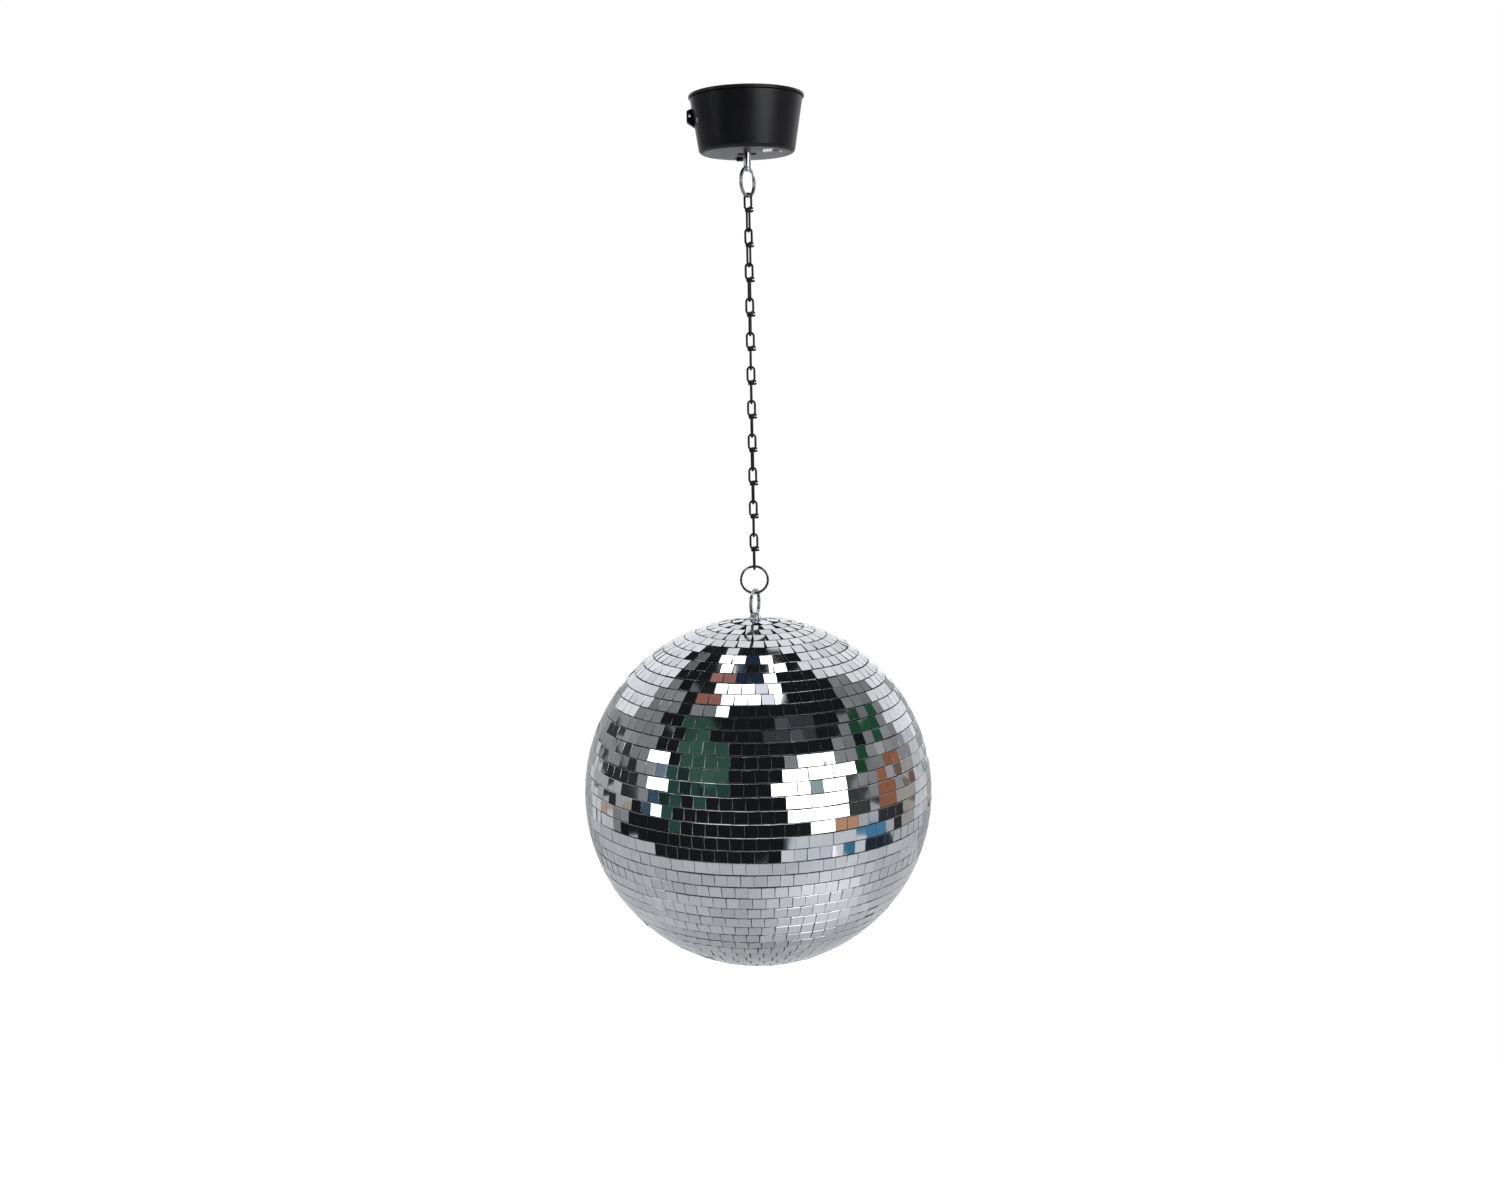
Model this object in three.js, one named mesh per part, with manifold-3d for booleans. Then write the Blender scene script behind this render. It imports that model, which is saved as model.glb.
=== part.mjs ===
// Mirror ball on a battery motor: a ceiling plate, a geared turning motor in a tapered housing,
// a split ring, a knotted wire chain, two more split rings and a ball covered in mirror tiles.
// Millimetres, +Z up. The origin is the middle of the face that goes against the ceiling.
import * as THREE from "three";
import { mergeVertices } from "three/addons/utils/BufferGeometryUtils.js";
import Module from "manifold-3d";

// ---- Driving dimensions ----
const GAP = 0.3; // air between pieces that touch in the real object
const HOUSING_HEIGHT = 46; // underside of the housing to the ceiling
const RIM_HEIGHT = 43.2; // underside to the housing's open rim
const FLOOR_RADIUS = 38.9; // housing radius extrapolated to the underside
const WALL_SLOPE = 0.157; // radius gained per mm of height
const WALL = 2; // housing wall
const FLOOR = 2.4; // housing floor

const SHAFT_RADIUS = 3;
const SHAFT_HOLE_RADIUS = 2;
const SHAFT_HOLE_LEVEL = -11; // cross hole, measured from the underside
const SHAFT_END_LEVEL = -13.9;
const SHAFT_TOP_LEVEL = 19.2;

const MODULE = 0.6; // gear module
const PINION_TEETH = 12;
const CLUSTER_TEETH = 36;
const OUTPUT_TEETH = 48;
const CLUSTER_BEARING = 210; // degrees round the shaft
const PINION_BEARING = -38; // degrees round the cluster gear

const RING_RADIUS = 12.5; // outside of each split ring
const RING_BAND = 2.1; // its radial width
const RING_THICK = 2; // two turns side by side
const UPPER_RING_YAW = 62; // degrees that each piece is turned round the hanging line
const LOWER_RING_YAW = 0;
const BALL_RING_YAW = 72;
const EYE_YAW = -18;

const LINK_PITCH = 28; // one contact to the next
const LINK_WIRE = 1.9;
const LINK_WIDTH = 7.7; // outside width of both loops
const KNOT_DROP = 11.7; // contact at the top to the middle of the knot
const LINK_YAWS = [-22, -25, -14, -10, -2, 3, 7, 12, 9, 3, 5];

const BALL_RADIUS = 150;
const GLASS = 1.6; // mirror tile
const SHELL = 2.6; // plastic half shell
const BALL_SIDES = 24;
const BALL_BANDS = 6; // steps from pole to equator

// ---- Levels down the hanging line, Z in the object's frame ----
const floorZ = -HOUSING_HEIGHT;
const ringPath = RING_RADIUS - RING_BAND / 2;
const ringInner = RING_RADIUS - RING_BAND;
const upperRingZ = floorZ + SHAFT_HOLE_LEVEL - ringPath;
const chainTopZ = upperRingZ - ringInner + GAP;
const chainEndZ = chainTopZ - LINK_PITCH * LINK_YAWS.length;
const lowerRingZ = chainEndZ - ringInner + GAP;
const ballRingZ = lowerRingZ - ringInner * 2 + 2 * GAP;
const eyeContactZ = ballRingZ - ringInner;
const EYE_LIFT = 4.05; // contact in the eye to the top of the mirror sphere
const ballZ = eyeContactZ - EYE_LIFT - BALL_RADIUS;

// ---- Materials ----
const finish = (color, roughness, metalness) =>
  new THREE.MeshStandardMaterial({ color, roughness, metalness });
const blackPlastic = finish(0x17171a, 0.55, 0);
const blackWire = finish(0x111113, 0.45, 0.6);
const zinc = finish(0xb9bcc0, 0.3, 1);
const steel = finish(0xc8c9cc, 0.25, 1);
const bronze = finish(0xa8803f, 0.4, 1);
const nylon = finish(0xe6e2d6, 0.5, 0);
const greyPlastic = finish(0x4a4b4f, 0.6, 0);
const mirror = finish(0xdfe3e8, 0.05, 1);
const redLens = finish(0x7a1d16, 0.2, 0);
const amberLens = finish(0xe2c58a, 0.2, 0);
const boardGreen = finish(0x2c6b3c, 0.5, 0);
const whiteCard = finish(0xf2f2f0, 0.6, 0);
const cellSleeve = finish(0x2d5f8a, 0.4, 0.2);
const redWire = finish(0xa32018, 0.5, 0);

// ---- Solids ----
const wasm = await Module();
wasm.setup();

// A closed three.js geometry as a solid, turned outside out if its faces point inwards.
function solid(geometry) {
  const bare = geometry.index ? geometry.toNonIndexed() : geometry.clone();
  bare.deleteAttribute("normal");
  bare.deleteAttribute("uv");
  const merged = mergeVertices(bare, 1e-3);
  const triVerts = new Uint32Array(merged.index.array);
  const vertProperties = merged.attributes.position.array;
  const made = new wasm.Manifold(new wasm.Mesh({ numProp: 3, vertProperties, triVerts }));
  if (made.volume() > 0) return made;
  for (let i = 0; i < triVerts.length; i += 3) {
    const first = triVerts[i];
    triVerts[i] = triVerts[i + 1];
    triVerts[i + 1] = first;
  }
  return new wasm.Manifold(new wasm.Mesh({ numProp: 3, vertProperties, triVerts }));
}

function geometryOf(made) {
  const mesh = made.getMesh();
  return new THREE.BufferGeometry()
    .setAttribute("position", new THREE.BufferAttribute(mesh.vertProperties, 3))
    .setIndex(new THREE.BufferAttribute(mesh.triVerts, 1));
}

function part(name, made, material) {
  const mesh = new THREE.Mesh(geometryOf(made), material);
  mesh.name = name;
  return mesh;
}

const radians = THREE.MathUtils.degToRad;
const union = (...pieces) => pieces.reduce((all, piece) => all.add(piece));
const cut = (body, ...tools) => tools.reduce((left, tool) => left.subtract(tool), body);

// A solid of revolution about Z from [radius, height] pairs.
function turned(profile, sides) {
  const points = profile.map(([r, h]) => new THREE.Vector2(r, h));
  return solid(new THREE.LatheGeometry(points, sides).rotateX(Math.PI / 2));
}

// A washer or tube: the profile closes on itself.
function turnedRing(profile, sides) {
  return turned([...profile, profile[0]], sides);
}

function tube(inner, outer, low, high, sides) {
  return turnedRing([[inner, low], [outer, low], [outer, high], [inner, high]], sides);
}

function rod(radius, low, high, sides, x = 0, y = 0) {
  const geometry = new THREE.CylinderGeometry(radius, radius, high - low, sides);
  return solid(geometry.rotateX(Math.PI / 2).translate(x, y, (low + high) / 2));
}

function block(wide, deep, low, high, x = 0, y = 0, yaw = 0) {
  const geometry = new THREE.BoxGeometry(wide, deep, high - low);
  return solid(geometry.rotateZ(radians(yaw)).translate(x, y, (low + high) / 2));
}

function around(radius, degrees) {
  return [radius * Math.cos(radians(degrees)), radius * Math.sin(radians(degrees))];
}

// ---- Motor housing: heights are measured up from its underside ----
const wallRadius = (height) => FLOOR_RADIUS + WALL_SLOPE * height;
const HOUSING_SIDES = 36;
const EDGE_ROUNDING = 3; // radius of the lower edge
const BUSH_HOLE_RADIUS = 5.6;
const POST_RADIUS = 3;
const POST_TOP = 16.6;
const PILOT_RADIUS = 1.4;
const POSTS = [75, 165, -50].map((bearing) => around(33, bearing));
const CENTRE_DISTANCE = (MODULE * (PINION_TEETH + OUTPUT_TEETH)) / 2;
const clusterAt = around(CENTRE_DISTANCE, CLUSTER_BEARING);
const pinionStep = around((MODULE * (PINION_TEETH + CLUSTER_TEETH)) / 2, PINION_BEARING);
const pinionAt = [clusterAt[0] + pinionStep[0], clusterAt[1] + pinionStep[1]];

const SWITCH = { x: -6, y: 25, travel: 4, wide: 5.6, deep: 2.8, drop: 2.4 };
const LED_RADIUS = 1.9;
const LED_RED_AT = [23.2, -16.2];
const LED_AMBER_AT = [27.3, -12];
const LABEL = { x: 16.4, y: -18, wide: 7.6, deep: 14, thick: 0.4 };
const LOCK_SCREW = { bearing: 204.3, height: 24, head: 1.7, shank: 1.1 };
const LUG_WIDTH = 8;

// A bar pointing outwards from the hanging line at one bearing and height.
function radialRod(radius, from, to, bearing, height, sides) {
  const geometry = new THREE.CylinderGeometry(radius, radius, to - from, sides);
  geometry.rotateZ(-Math.PI / 2).translate((from + to) / 2, 0, 0);
  return solid(geometry.rotateZ(radians(bearing)).translate(0, 0, height));
}

// The wedge-shaped eye for a safety wire on the housing's left side.
function safetyLug() {
  const outline = new THREE.Shape();
  outline.moveTo(-41.2, 20);
  outline.lineTo(-45.2, 20.2);
  outline.lineTo(-48.4, 26);
  outline.lineTo(-48.4, 34);
  outline.lineTo(-45.6, 37);
  outline.lineTo(-43.6, 37);
  const wedge = new THREE.ExtrudeGeometry(outline, { depth: LUG_WIDTH, bevelEnabled: false });
  wedge.rotateX(Math.PI / 2).translate(0, LUG_WIDTH / 2, 0);
  const eye = new THREE.CylinderGeometry(1.1, 1.1, LUG_WIDTH + 2, 10).translate(-46.2, 0, 30);
  return cut(solid(wedge), solid(eye));
}

function housing() {
  const profile = [[BUSH_HOLE_RADIUS, 0], [wallRadius(0) - EDGE_ROUNDING + 0.2, 0]];
  for (const turn of [30, 60]) {
    const inset = EDGE_ROUNDING * (1 - Math.sin(radians(turn)));
    const lift = EDGE_ROUNDING * (1 - Math.cos(radians(turn)));
    profile.push([wallRadius(lift) - inset, lift]);
  }
  profile.push([wallRadius(EDGE_ROUNDING), EDGE_ROUNDING]);
  profile.push([wallRadius(RIM_HEIGHT), RIM_HEIGHT]);
  profile.push([wallRadius(RIM_HEIGHT) - WALL, RIM_HEIGHT]);
  profile.push([wallRadius(FLOOR + 2) - WALL, FLOOR + 2]);
  profile.push([wallRadius(FLOOR) - WALL - 1.6, FLOOR]);
  profile.push([BUSH_HOLE_RADIUS, FLOOR]);
  let shell = turnedRing(profile, HOUSING_SIDES);
  for (const [x, y] of POSTS) {
    const post = rod(POST_RADIUS, FLOOR - 0.5, POST_TOP, 14, x, y);
    shell = shell.add(cut(post, rod(PILOT_RADIUS, 8, POST_TOP + 1, 10, x, y)));
  }
  const boss = cut(
    rod(3, FLOOR - 0.5, 5, 14, ...clusterAt),
    rod(PILOT_RADIUS, 3, 6, 10, ...clusterAt),
  );
  const slotWide = SWITCH.wide + SWITCH.travel + 2 * GAP;
  return cut(
    union(shell, boss, safetyLug()),
    block(slotWide, SWITCH.deep + 2 * GAP, -1, FLOOR + 1, SWITCH.x + SWITCH.travel / 2, SWITCH.y),
    rod(LED_RADIUS + GAP, -1, FLOOR + 1, 14, ...LED_RED_AT),
    rod(LED_RADIUS + GAP, -1, FLOOR + 1, 14, ...LED_AMBER_AT),
    block(LABEL.wide + 2 * GAP, LABEL.deep + 2 * GAP, -1, 2 * LABEL.thick, LABEL.x, LABEL.y),
    radialRod(LOCK_SCREW.shank + GAP, 38, 46, LOCK_SCREW.bearing, LOCK_SCREW.height, 10),
  );
}

// The plate that is screwed to the ceiling; its skirt and one long tongue go inside the housing.
function ceilingPlate() {
  const PLATE_RADIUS = 47;
  const PLATE_LOW = RIM_HEIGHT + GAP;
  const SKIRT = [39.6, 41.4];
  const disc = turned(
    [[0, PLATE_LOW], [PLATE_RADIUS, PLATE_LOW], [PLATE_RADIUS, 45.2], [46.2, 46], [0, 46]],
    HOUSING_SIDES,
  );
  const skirt = tube(SKIRT[0], SKIRT[1], 37, PLATE_LOW + 1, HOUSING_SIDES);
  const [x, y] = around(39, LOCK_SCREW.bearing);
  const tongue = block(1.6, 7, 21.4, PLATE_LOW + 1, x, y, LOCK_SCREW.bearing);
  return cut(
    union(disc, skirt, tongue),
    rod(2.25, 40, 50, 14, 25, 0),
    rod(2.25, 40, 50, 14, -25, 0),
    radialRod(LOCK_SCREW.shank + GAP, 36, 42, LOCK_SCREW.bearing, LOCK_SCREW.height, 10),
  );
}

function lockScrew() {
  const { bearing, height, head, shank } = LOCK_SCREW;
  const outside = wallRadius(height) + GAP;
  return union(
    radialRod(shank, 36.5, outside + 0.4, bearing, height, 10),
    radialRod(head, outside, outside + 0.9, bearing, height, 12),
  );
}

// ---- Gear train ----
const PLATE_LOW = 16.9; // gear plate, steel
const PLATE_HIGH = 18.1;

// A spur gear's outline with straight-sided teeth; the first tooth stands at the phase angle.
function gear(teeth, phase, low, high, bore, sides) {
  const pitchRadius = (MODULE * teeth) / 2;
  const tip = pitchRadius + 0.85 * MODULE;
  const root = pitchRadius - 1.2 * MODULE;
  const step = 360 / teeth;
  const outline = new THREE.Shape();
  for (let i = 0; i < teeth; i++) {
    const middle = phase + i * step;
    const corners = [[root, -0.29], [tip, -0.1], [tip, 0.1], [root, 0.29]];
    for (const [radius, share] of corners) {
      const [x, y] = around(radius, middle + share * step);
      if (i === 0 && share === -0.29) outline.moveTo(x, y);
      else outline.lineTo(x, y);
    }
  }
  outline.closePath();
  const body = new THREE.ExtrudeGeometry(outline, { depth: high - low, bevelEnabled: false });
  body.translate(0, 0, low);
  return bore ? cut(solid(body), rod(bore, low - 1, high + 1, sides)) : solid(body);
}

const GEAR_PIN_LEVEL = 12.3;
const crossBar = (radius, half, level) => {
  const bar = new THREE.CylinderGeometry(radius, radius, 2 * half, 10);
  return solid(bar.translate(0, 0, level));
};

function outputShaft() {
  const hole = new THREE.CylinderGeometry(SHAFT_HOLE_RADIUS, SHAFT_HOLE_RADIUS, 10, 16);
  hole.rotateZ(-Math.PI / 2).rotateZ(radians(UPPER_RING_YAW)).translate(0, 0, SHAFT_HOLE_LEVEL);
  const body = turned(
    [
      [0, SHAFT_END_LEVEL],
      [SHAFT_RADIUS - 0.6, SHAFT_END_LEVEL],
      [SHAFT_RADIUS, SHAFT_END_LEVEL + 0.6],
      [SHAFT_RADIUS, SHAFT_TOP_LEVEL],
      [0, SHAFT_TOP_LEVEL],
    ],
    24,
  );
  return cut(body, solid(hole), crossBar(1.05, 5, GEAR_PIN_LEVEL));
}

function outputGear() {
  const wheel = gear(OUTPUT_TEETH, 0, 7, 11, 0, 0);
  const hub = rod(5.5, 10.5, 14.2, 20);
  const bored = cut(union(wheel, hub), rod(SHAFT_RADIUS + GAP, 6, 15, 24));
  return cut(bored, crossBar(1.05, 7, GEAR_PIN_LEVEL));
}

function clusterGear() {
  const small = gear(PINION_TEETH, 15, 5.6, 12, 0, 0);
  const large = gear(CLUSTER_TEETH, 2, 11.6, 14.6, 0, 0);
  return cut(union(small, large), rod(1.12, 5, 15, 16));
}

function motorPinion() {
  return union(gear(PINION_TEETH, 7, 11, 15, 0, 0), rod(1.5, 14, 23, 12));
}

function gearPlate() {
  const disc = rod(34, PLATE_LOW, PLATE_HIGH, HOUSING_SIDES);
  const low = PLATE_LOW - 1;
  const high = PLATE_HIGH + 1;
  const screwHoles = POSTS.map(([x, y]) => rod(PILOT_RADIUS, low, high, 10, x, y));
  return cut(
    disc,
    rod(4.6, low, high, 20),
    rod(1.3, low, high, 10, ...clusterAt),
    rod(2.4, low, high, 12, ...pinionAt),
    ...screwHoles,
  );
}

function plateScrew([x, y]) {
  return union(
    rod(1.1, 11, PLATE_HIGH + 0.6, 10, x, y),
    turned([[0, PLATE_HIGH + GAP], [2.5, PLATE_HIGH + GAP], [2.5, 19.4], [1.7, 20], [0, 20]], 12)
      .translate([x, y, 0]),
  );
}

// ---- Gear motor, cells and wiring ----
const MOTOR_BOX_HIGH = 27;
const MOTOR_CAN_HIGH = 41;

function motorGearbox() {
  const [x, y] = pinionAt;
  return cut(
    block(14, 12, PLATE_HIGH + GAP, MOTOR_BOX_HIGH, x, y),
    rod(1.8, PLATE_HIGH, 24, 12, x, y),
  );
}

function motorCan() {
  const [x, y] = pinionAt;
  const low = MOTOR_BOX_HIGH + GAP;
  const flats = block(20, 10, low - 1, MOTOR_CAN_HIGH + 1, x, y);
  const can = rod(6, low, MOTOR_CAN_HIGH - 2, 20, x, y).intersect(flats);
  return union(
    can,
    rod(3, MOTOR_CAN_HIGH - 2.5, MOTOR_CAN_HIGH - 1, 14, x, y),
    block(0.6, 1.6, MOTOR_CAN_HIGH - 2.5, MOTOR_CAN_HIGH, x - 4, y),
    block(0.6, 1.6, MOTOR_CAN_HIGH - 2.5, MOTOR_CAN_HIGH, x + 4, y),
  );
}

const CELL_RADIUS = 7.1;
const CELL_LENGTH = 49;
const CELL_LEVEL = 29.2;
const CELL_ROWS = [2.4, 17.1]; // Y of each cell
const CELL_SHIFT = 1.6; // each cell is pushed towards its button end by its spring
const TRAY_HALF = 29.5;
const TRAY_FLOOR = 20.5;
const TRAY_WALL = 1.3;

function batteryTray() {
  const low = -6;
  const high = 25.5;
  const middle = (low + high) / 2;
  const deep = high - low;
  const tray = cut(
    block(2 * TRAY_HALF, deep, TRAY_FLOOR, 31, 0, middle),
    block(2 * (TRAY_HALF - TRAY_WALL), deep - 2 * TRAY_WALL, 21.8, 40, 0, middle),
  );
  const feet = [-18, 18].map((x) => rod(2, PLATE_HIGH + GAP, TRAY_FLOOR + 0.5, 10, x, 10));
  return union(tray, ...feet);
}

// One cell lying along X, its button at the end that the direction points to.
function cell(y, direction) {
  const half = CELL_LENGTH / 2;
  const profile = [
    [0, -half],
    [CELL_RADIUS - 0.6, -half],
    [CELL_RADIUS, -half + 0.6],
    [CELL_RADIUS, half - 0.6],
    [CELL_RADIUS - 0.6, half],
    [2.6, half],
    [2.6, half + 1.2],
    [0, half + 1.2],
  ];
  return turned(profile, 20).rotate([0, 90 * direction, 0])
    .translate([CELL_SHIFT * direction, y, CELL_LEVEL]);
}

// The conical contact spring at a cell's flat end, as the cone that its coils fill.
function contactSpring(y, direction) {
  const cone = new THREE.CylinderGeometry(2.4, 4.6, 4, 14).rotateZ((-Math.PI / 2) * direction);
  return solid(cone.translate(-direction * 25.2, y, CELL_LEVEL));
}

const contactPlate = (x, low, high) => block(0.5, high - low, 23, 33, x, (low + high) / 2);

// An insulated lead through hand-set points, [x, y, height].
function lead(points) {
  const route = new THREE.CatmullRomCurve3(points.map((p) => new THREE.Vector3(...p)));
  const section = new THREE.Shape();
  const SIDES = 6;
  for (let i = 0; i < SIDES; i++) {
    const [x, y] = around(0.6, (i * 360) / SIDES);
    if (i === 0) section.moveTo(x, y);
    else section.lineTo(x, y);
  }
  section.closePath();
  return solid(new THREE.ExtrudeGeometry(section, { steps: 22, extrudePath: route }));
}

const LEADS = {
  lead_battery_switch: [
    [29.9, 20, 27], [33.5, 19, 25.5], [33.4, 17.2, 19], [31.8, 18.4, 12], [24, 26, 6.5],
    [13.5, 26.6, 5.8], [3.6, 25, 5.6],
  ],
  lead_switch_motor: [
    [-11.6, 25, 5.6], [-17, 27.5, 6.5], [-30.5, 20, 11], [-36.9, 8, 16], [-37, 1, 22],
    [-34, -7, 30], [-22, -15, 38.5], [-13, -17.9, 40.4], [-9.1, -17.9, 39.9],
  ],
  lead_motor_battery: [
    [0.9, -17.9, 39.9], [5, -17.8, 40.6], [18, -12, 39], [30, -7.5, 35], [34, -1, 30],
    [32.5, 2, 27.6], [29.9, 2.4, 27],
  ],
  lead_led: [
    [29.9, 14.2, 27], [33, 13, 26], [35.4, 9, 20], [35.6, 3, 14], [33, -5, 10.2], [29.2, -9.6, 9.2],
  ],
};

// ---- Switch and lamps ----
function switchBody() {
  const middle = SWITCH.x + SWITCH.travel / 2;
  const slotWide = SWITCH.wide + SWITCH.travel + 2 * GAP;
  return cut(
    block(14, 6, FLOOR + GAP, 8.2, middle, SWITCH.y),
    block(slotWide, SWITCH.deep + 2 * GAP, FLOOR, 4.7, middle, SWITCH.y),
  );
}

const switchKnob = () => block(SWITCH.wide, SWITCH.deep, -SWITCH.drop, 4.2, SWITCH.x, SWITCH.y);

function lamp([x, y]) {
  const profile = [[0, -1], [1.1, -0.7], [1.7, 0.1], [LED_RADIUS, 0.9], [LED_RADIUS, 6.6], [0, 6.6]];
  return turned(profile, 14).translate([x, y, 0]);
}

function lampBoard() {
  const x = (LED_RED_AT[0] + LED_AMBER_AT[0]) / 2;
  const y = (LED_RED_AT[1] + LED_AMBER_AT[1]) / 2;
  return block(13, 7, 6.9, 8.1, x, y, 45.7);
}

// ---- Split rings and chain: each hangs at its own origin ----
const splitRing = () => {
  const half = RING_THICK / 2;
  return tube(ringInner, RING_RADIUS, -half, half, 24).rotate([90, 0, 0]);
};

// A wire loop standing in the XZ plane with straight sides, its wire's centre from top to bottom.
function wireLoop(top, bottom) {
  const bend = (LINK_WIDTH - LINK_WIRE) / 2;
  const TURNS = 12;
  const loop = new THREE.TorusGeometry(bend, LINK_WIRE / 2, 6, TURNS);
  loop.rotateZ(Math.PI / TURNS);
  const half = (top - bottom) / 2 - bend;
  const places = loop.attributes.position;
  for (let i = 0; i < places.count; i++) {
    const y = places.getY(i);
    places.setY(i, y + Math.sign(y) * half);
  }
  return solid(loop.rotateX(Math.PI / 2).translate(0, 0, (top + bottom) / 2));
}

// One knotted link, its origin where it hangs on the piece above.
function chainLink() {
  const play = GAP / 2;
  const wire = LINK_WIRE / 2;
  const upper = wireLoop(wire + play, -KNOT_DROP);
  const lower = wireLoop(-KNOT_DROP, -LINK_PITCH - wire - play).rotate([0, 0, 90]);
  const knot = turned(
    [[0, 2], [2, 1.9], [2.9, 0.9], [2.9, -0.9], [2, -1.9], [0, -2]].map(([r, h]) => [r, h - KNOT_DROP]),
    10,
  );
  return union(upper, lower, knot);
}

// ---- Ball: heights are measured from its centre ----
// Part of a thin sphere between two polar angles, in degrees down from the top.
function sphereBand(outer, thick, from, to) {
  const profile = [];
  for (const radius of [outer, outer - thick]) {
    for (let i = 0; i <= BALL_BANDS; i++) {
      const share = radius === outer ? i : BALL_BANDS - i;
      const angle = radians(from + ((to - from) * share) / BALL_BANDS);
      profile.push([radius * Math.sin(angle), radius * Math.cos(angle)]);
    }
  }
  return turnedRing(profile, BALL_SIDES);
}

const TOP_TILE_EDGE = 10.3; // radius of the bare disc at each pole
const SHELL_HOLE = 6;
const shellRadius = BALL_RADIUS - GLASS - 0.4;
const SEAM = 0.08; // half the joint between the halves, degrees
const poleAngle = (hole, radius) => THREE.MathUtils.radToDeg(Math.asin(hole / radius));

function eyeBolt() {
  const EYE_WIRE = 2.3;
  const EYE_INNER = 2.4;
  const PLAY = 0.45;
  const eyeZ = BALL_RADIUS + EYE_LIFT + PLAY - EYE_INNER;
  const eye = new THREE.TorusGeometry(EYE_INNER + EYE_WIRE / 2, EYE_WIRE / 2, 8, 16);
  eye.rotateX(Math.PI / 2).translate(0, 0, eyeZ);
  return union(solid(eye), rod(2.4, 135.5, 148.5, 14));
}

const poleCap = () =>
  turnedRing(
    [[2.8, 145.9], [5.5, 145.9], [5.5, 148.3], [9.8, 148.1], [9.8, 149], [4.8, 149.6], [4.8, 147], [2.8, 147]],
    20,
  );

function eyeNut() {
  const hex = new THREE.CylinderGeometry(4.6, 4.6, 4, 6).rotateX(Math.PI / 2).translate(0, 0, 139.4);
  return cut(solid(hex), rod(2.75, 136, 144, 14));
}

const bottomPlug = () =>
  turned([[0, -149.4], [7, -149.2], [8, -148.8], [8, -148.3], [5.2, -148.3], [5.2, -142.5], [0, -142.5]], 20);

// ---- Assembly ----
const root = new THREE.Group();

const motor = new THREE.Group();
motor.position.z = floorZ;
root.add(motor);
motor.add(
  part("housing", housing(), blackPlastic),
  part("ceiling_plate", ceilingPlate(), blackPlastic),
  part("lock_screw", lockScrew(), zinc),
  part("gear_plate", gearPlate(), steel),
  part("lower_bush", turnedRing(
    [[3.1, 0.9], [5.2, 0.9], [5.2, 2.7], [8.5, 2.7], [8.5, 4], [3.1, 4]], 24), bronze),
  part("plate_bush", turnedRing(
    [[3.1, 15.4], [5.6, 15.4], [5.6, 16.6], [4.3, 16.6], [4.3, 18.8], [3.1, 18.8]], 24), bronze),
  part("thrust_washer", tube(3.4, 7, 4.3, 5.1, 20), nylon),
  part("gear_axle", rod(1, 3.3, 18.8, 16, ...clusterAt), steel),
  part("motor_gearbox", motorGearbox(), greyPlastic),
  part("motor_can", motorCan(), steel),
  part("battery_tray", batteryTray(), greyPlastic),
  part("contact_tab", contactPlate(27.8, 11, 23.2), zinc),
  part("contact_link", contactPlate(-27.8, -3, 23.2), zinc),
  part("switch_body", switchBody(), greyPlastic),
  part("switch_knob", switchKnob(), blackPlastic),
  part("led_board", lampBoard(), boardGreen),
  part("led_red", lamp(LED_RED_AT), redLens),
  part("led_amber", lamp(LED_AMBER_AT), amberLens),
  part("label_plate", block(LABEL.wide, LABEL.deep, 0.05, 0.05 + LABEL.thick, LABEL.x, LABEL.y), whiteCard),
);
POSTS.forEach((place, i) => motor.add(part(`plate_screw_${i + 1}`, plateScrew(place), zinc)));
CELL_ROWS.forEach((y, i) => {
  const direction = i === 0 ? -1 : 1;
  motor.add(part(`cell_${i + 1}`, cell(y, direction), cellSleeve));
  motor.add(part(`contact_spring_${i + 1}`, contactSpring(y, direction), zinc));
});
for (const [name, points] of Object.entries(LEADS)) {
  motor.add(part(name, lead(points), name === "lead_switch_motor" ? redWire : blackPlastic));
}

// Everything below turns with the shaft.
motor.add(
  part("output_shaft", outputShaft(), steel),
  part("output_gear", outputGear(), nylon),
  part("gear_pin", crossBar(0.75, 5.2, GEAR_PIN_LEVEL), steel),
  part("shaft_circlip", tube(SHAFT_RADIUS + GAP, 5.2, 5.4, 6.2, 20), steel),
);
const cluster = part("cluster_gear", clusterGear(), nylon);
cluster.position.set(...clusterAt, 0);
const pinion = part("motor_pinion", motorPinion(), bronze);
pinion.position.set(...pinionAt, 0);
motor.add(cluster, pinion);

function hang(mesh, z, yaw) {
  mesh.position.z = z;
  mesh.rotation.z = radians(yaw);
  root.add(mesh);
}

hang(part("upper_ring", splitRing(), zinc), upperRingZ, UPPER_RING_YAW);
LINK_YAWS.forEach((yaw, i) => {
  hang(part(`chain_link_${i + 1}`, chainLink(), blackWire), chainTopZ - i * LINK_PITCH, yaw);
});
hang(part("lower_ring", splitRing(), zinc), lowerRingZ, LOWER_RING_YAW);
hang(part("ball_ring", splitRing(), zinc), ballRingZ, BALL_RING_YAW);

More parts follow.
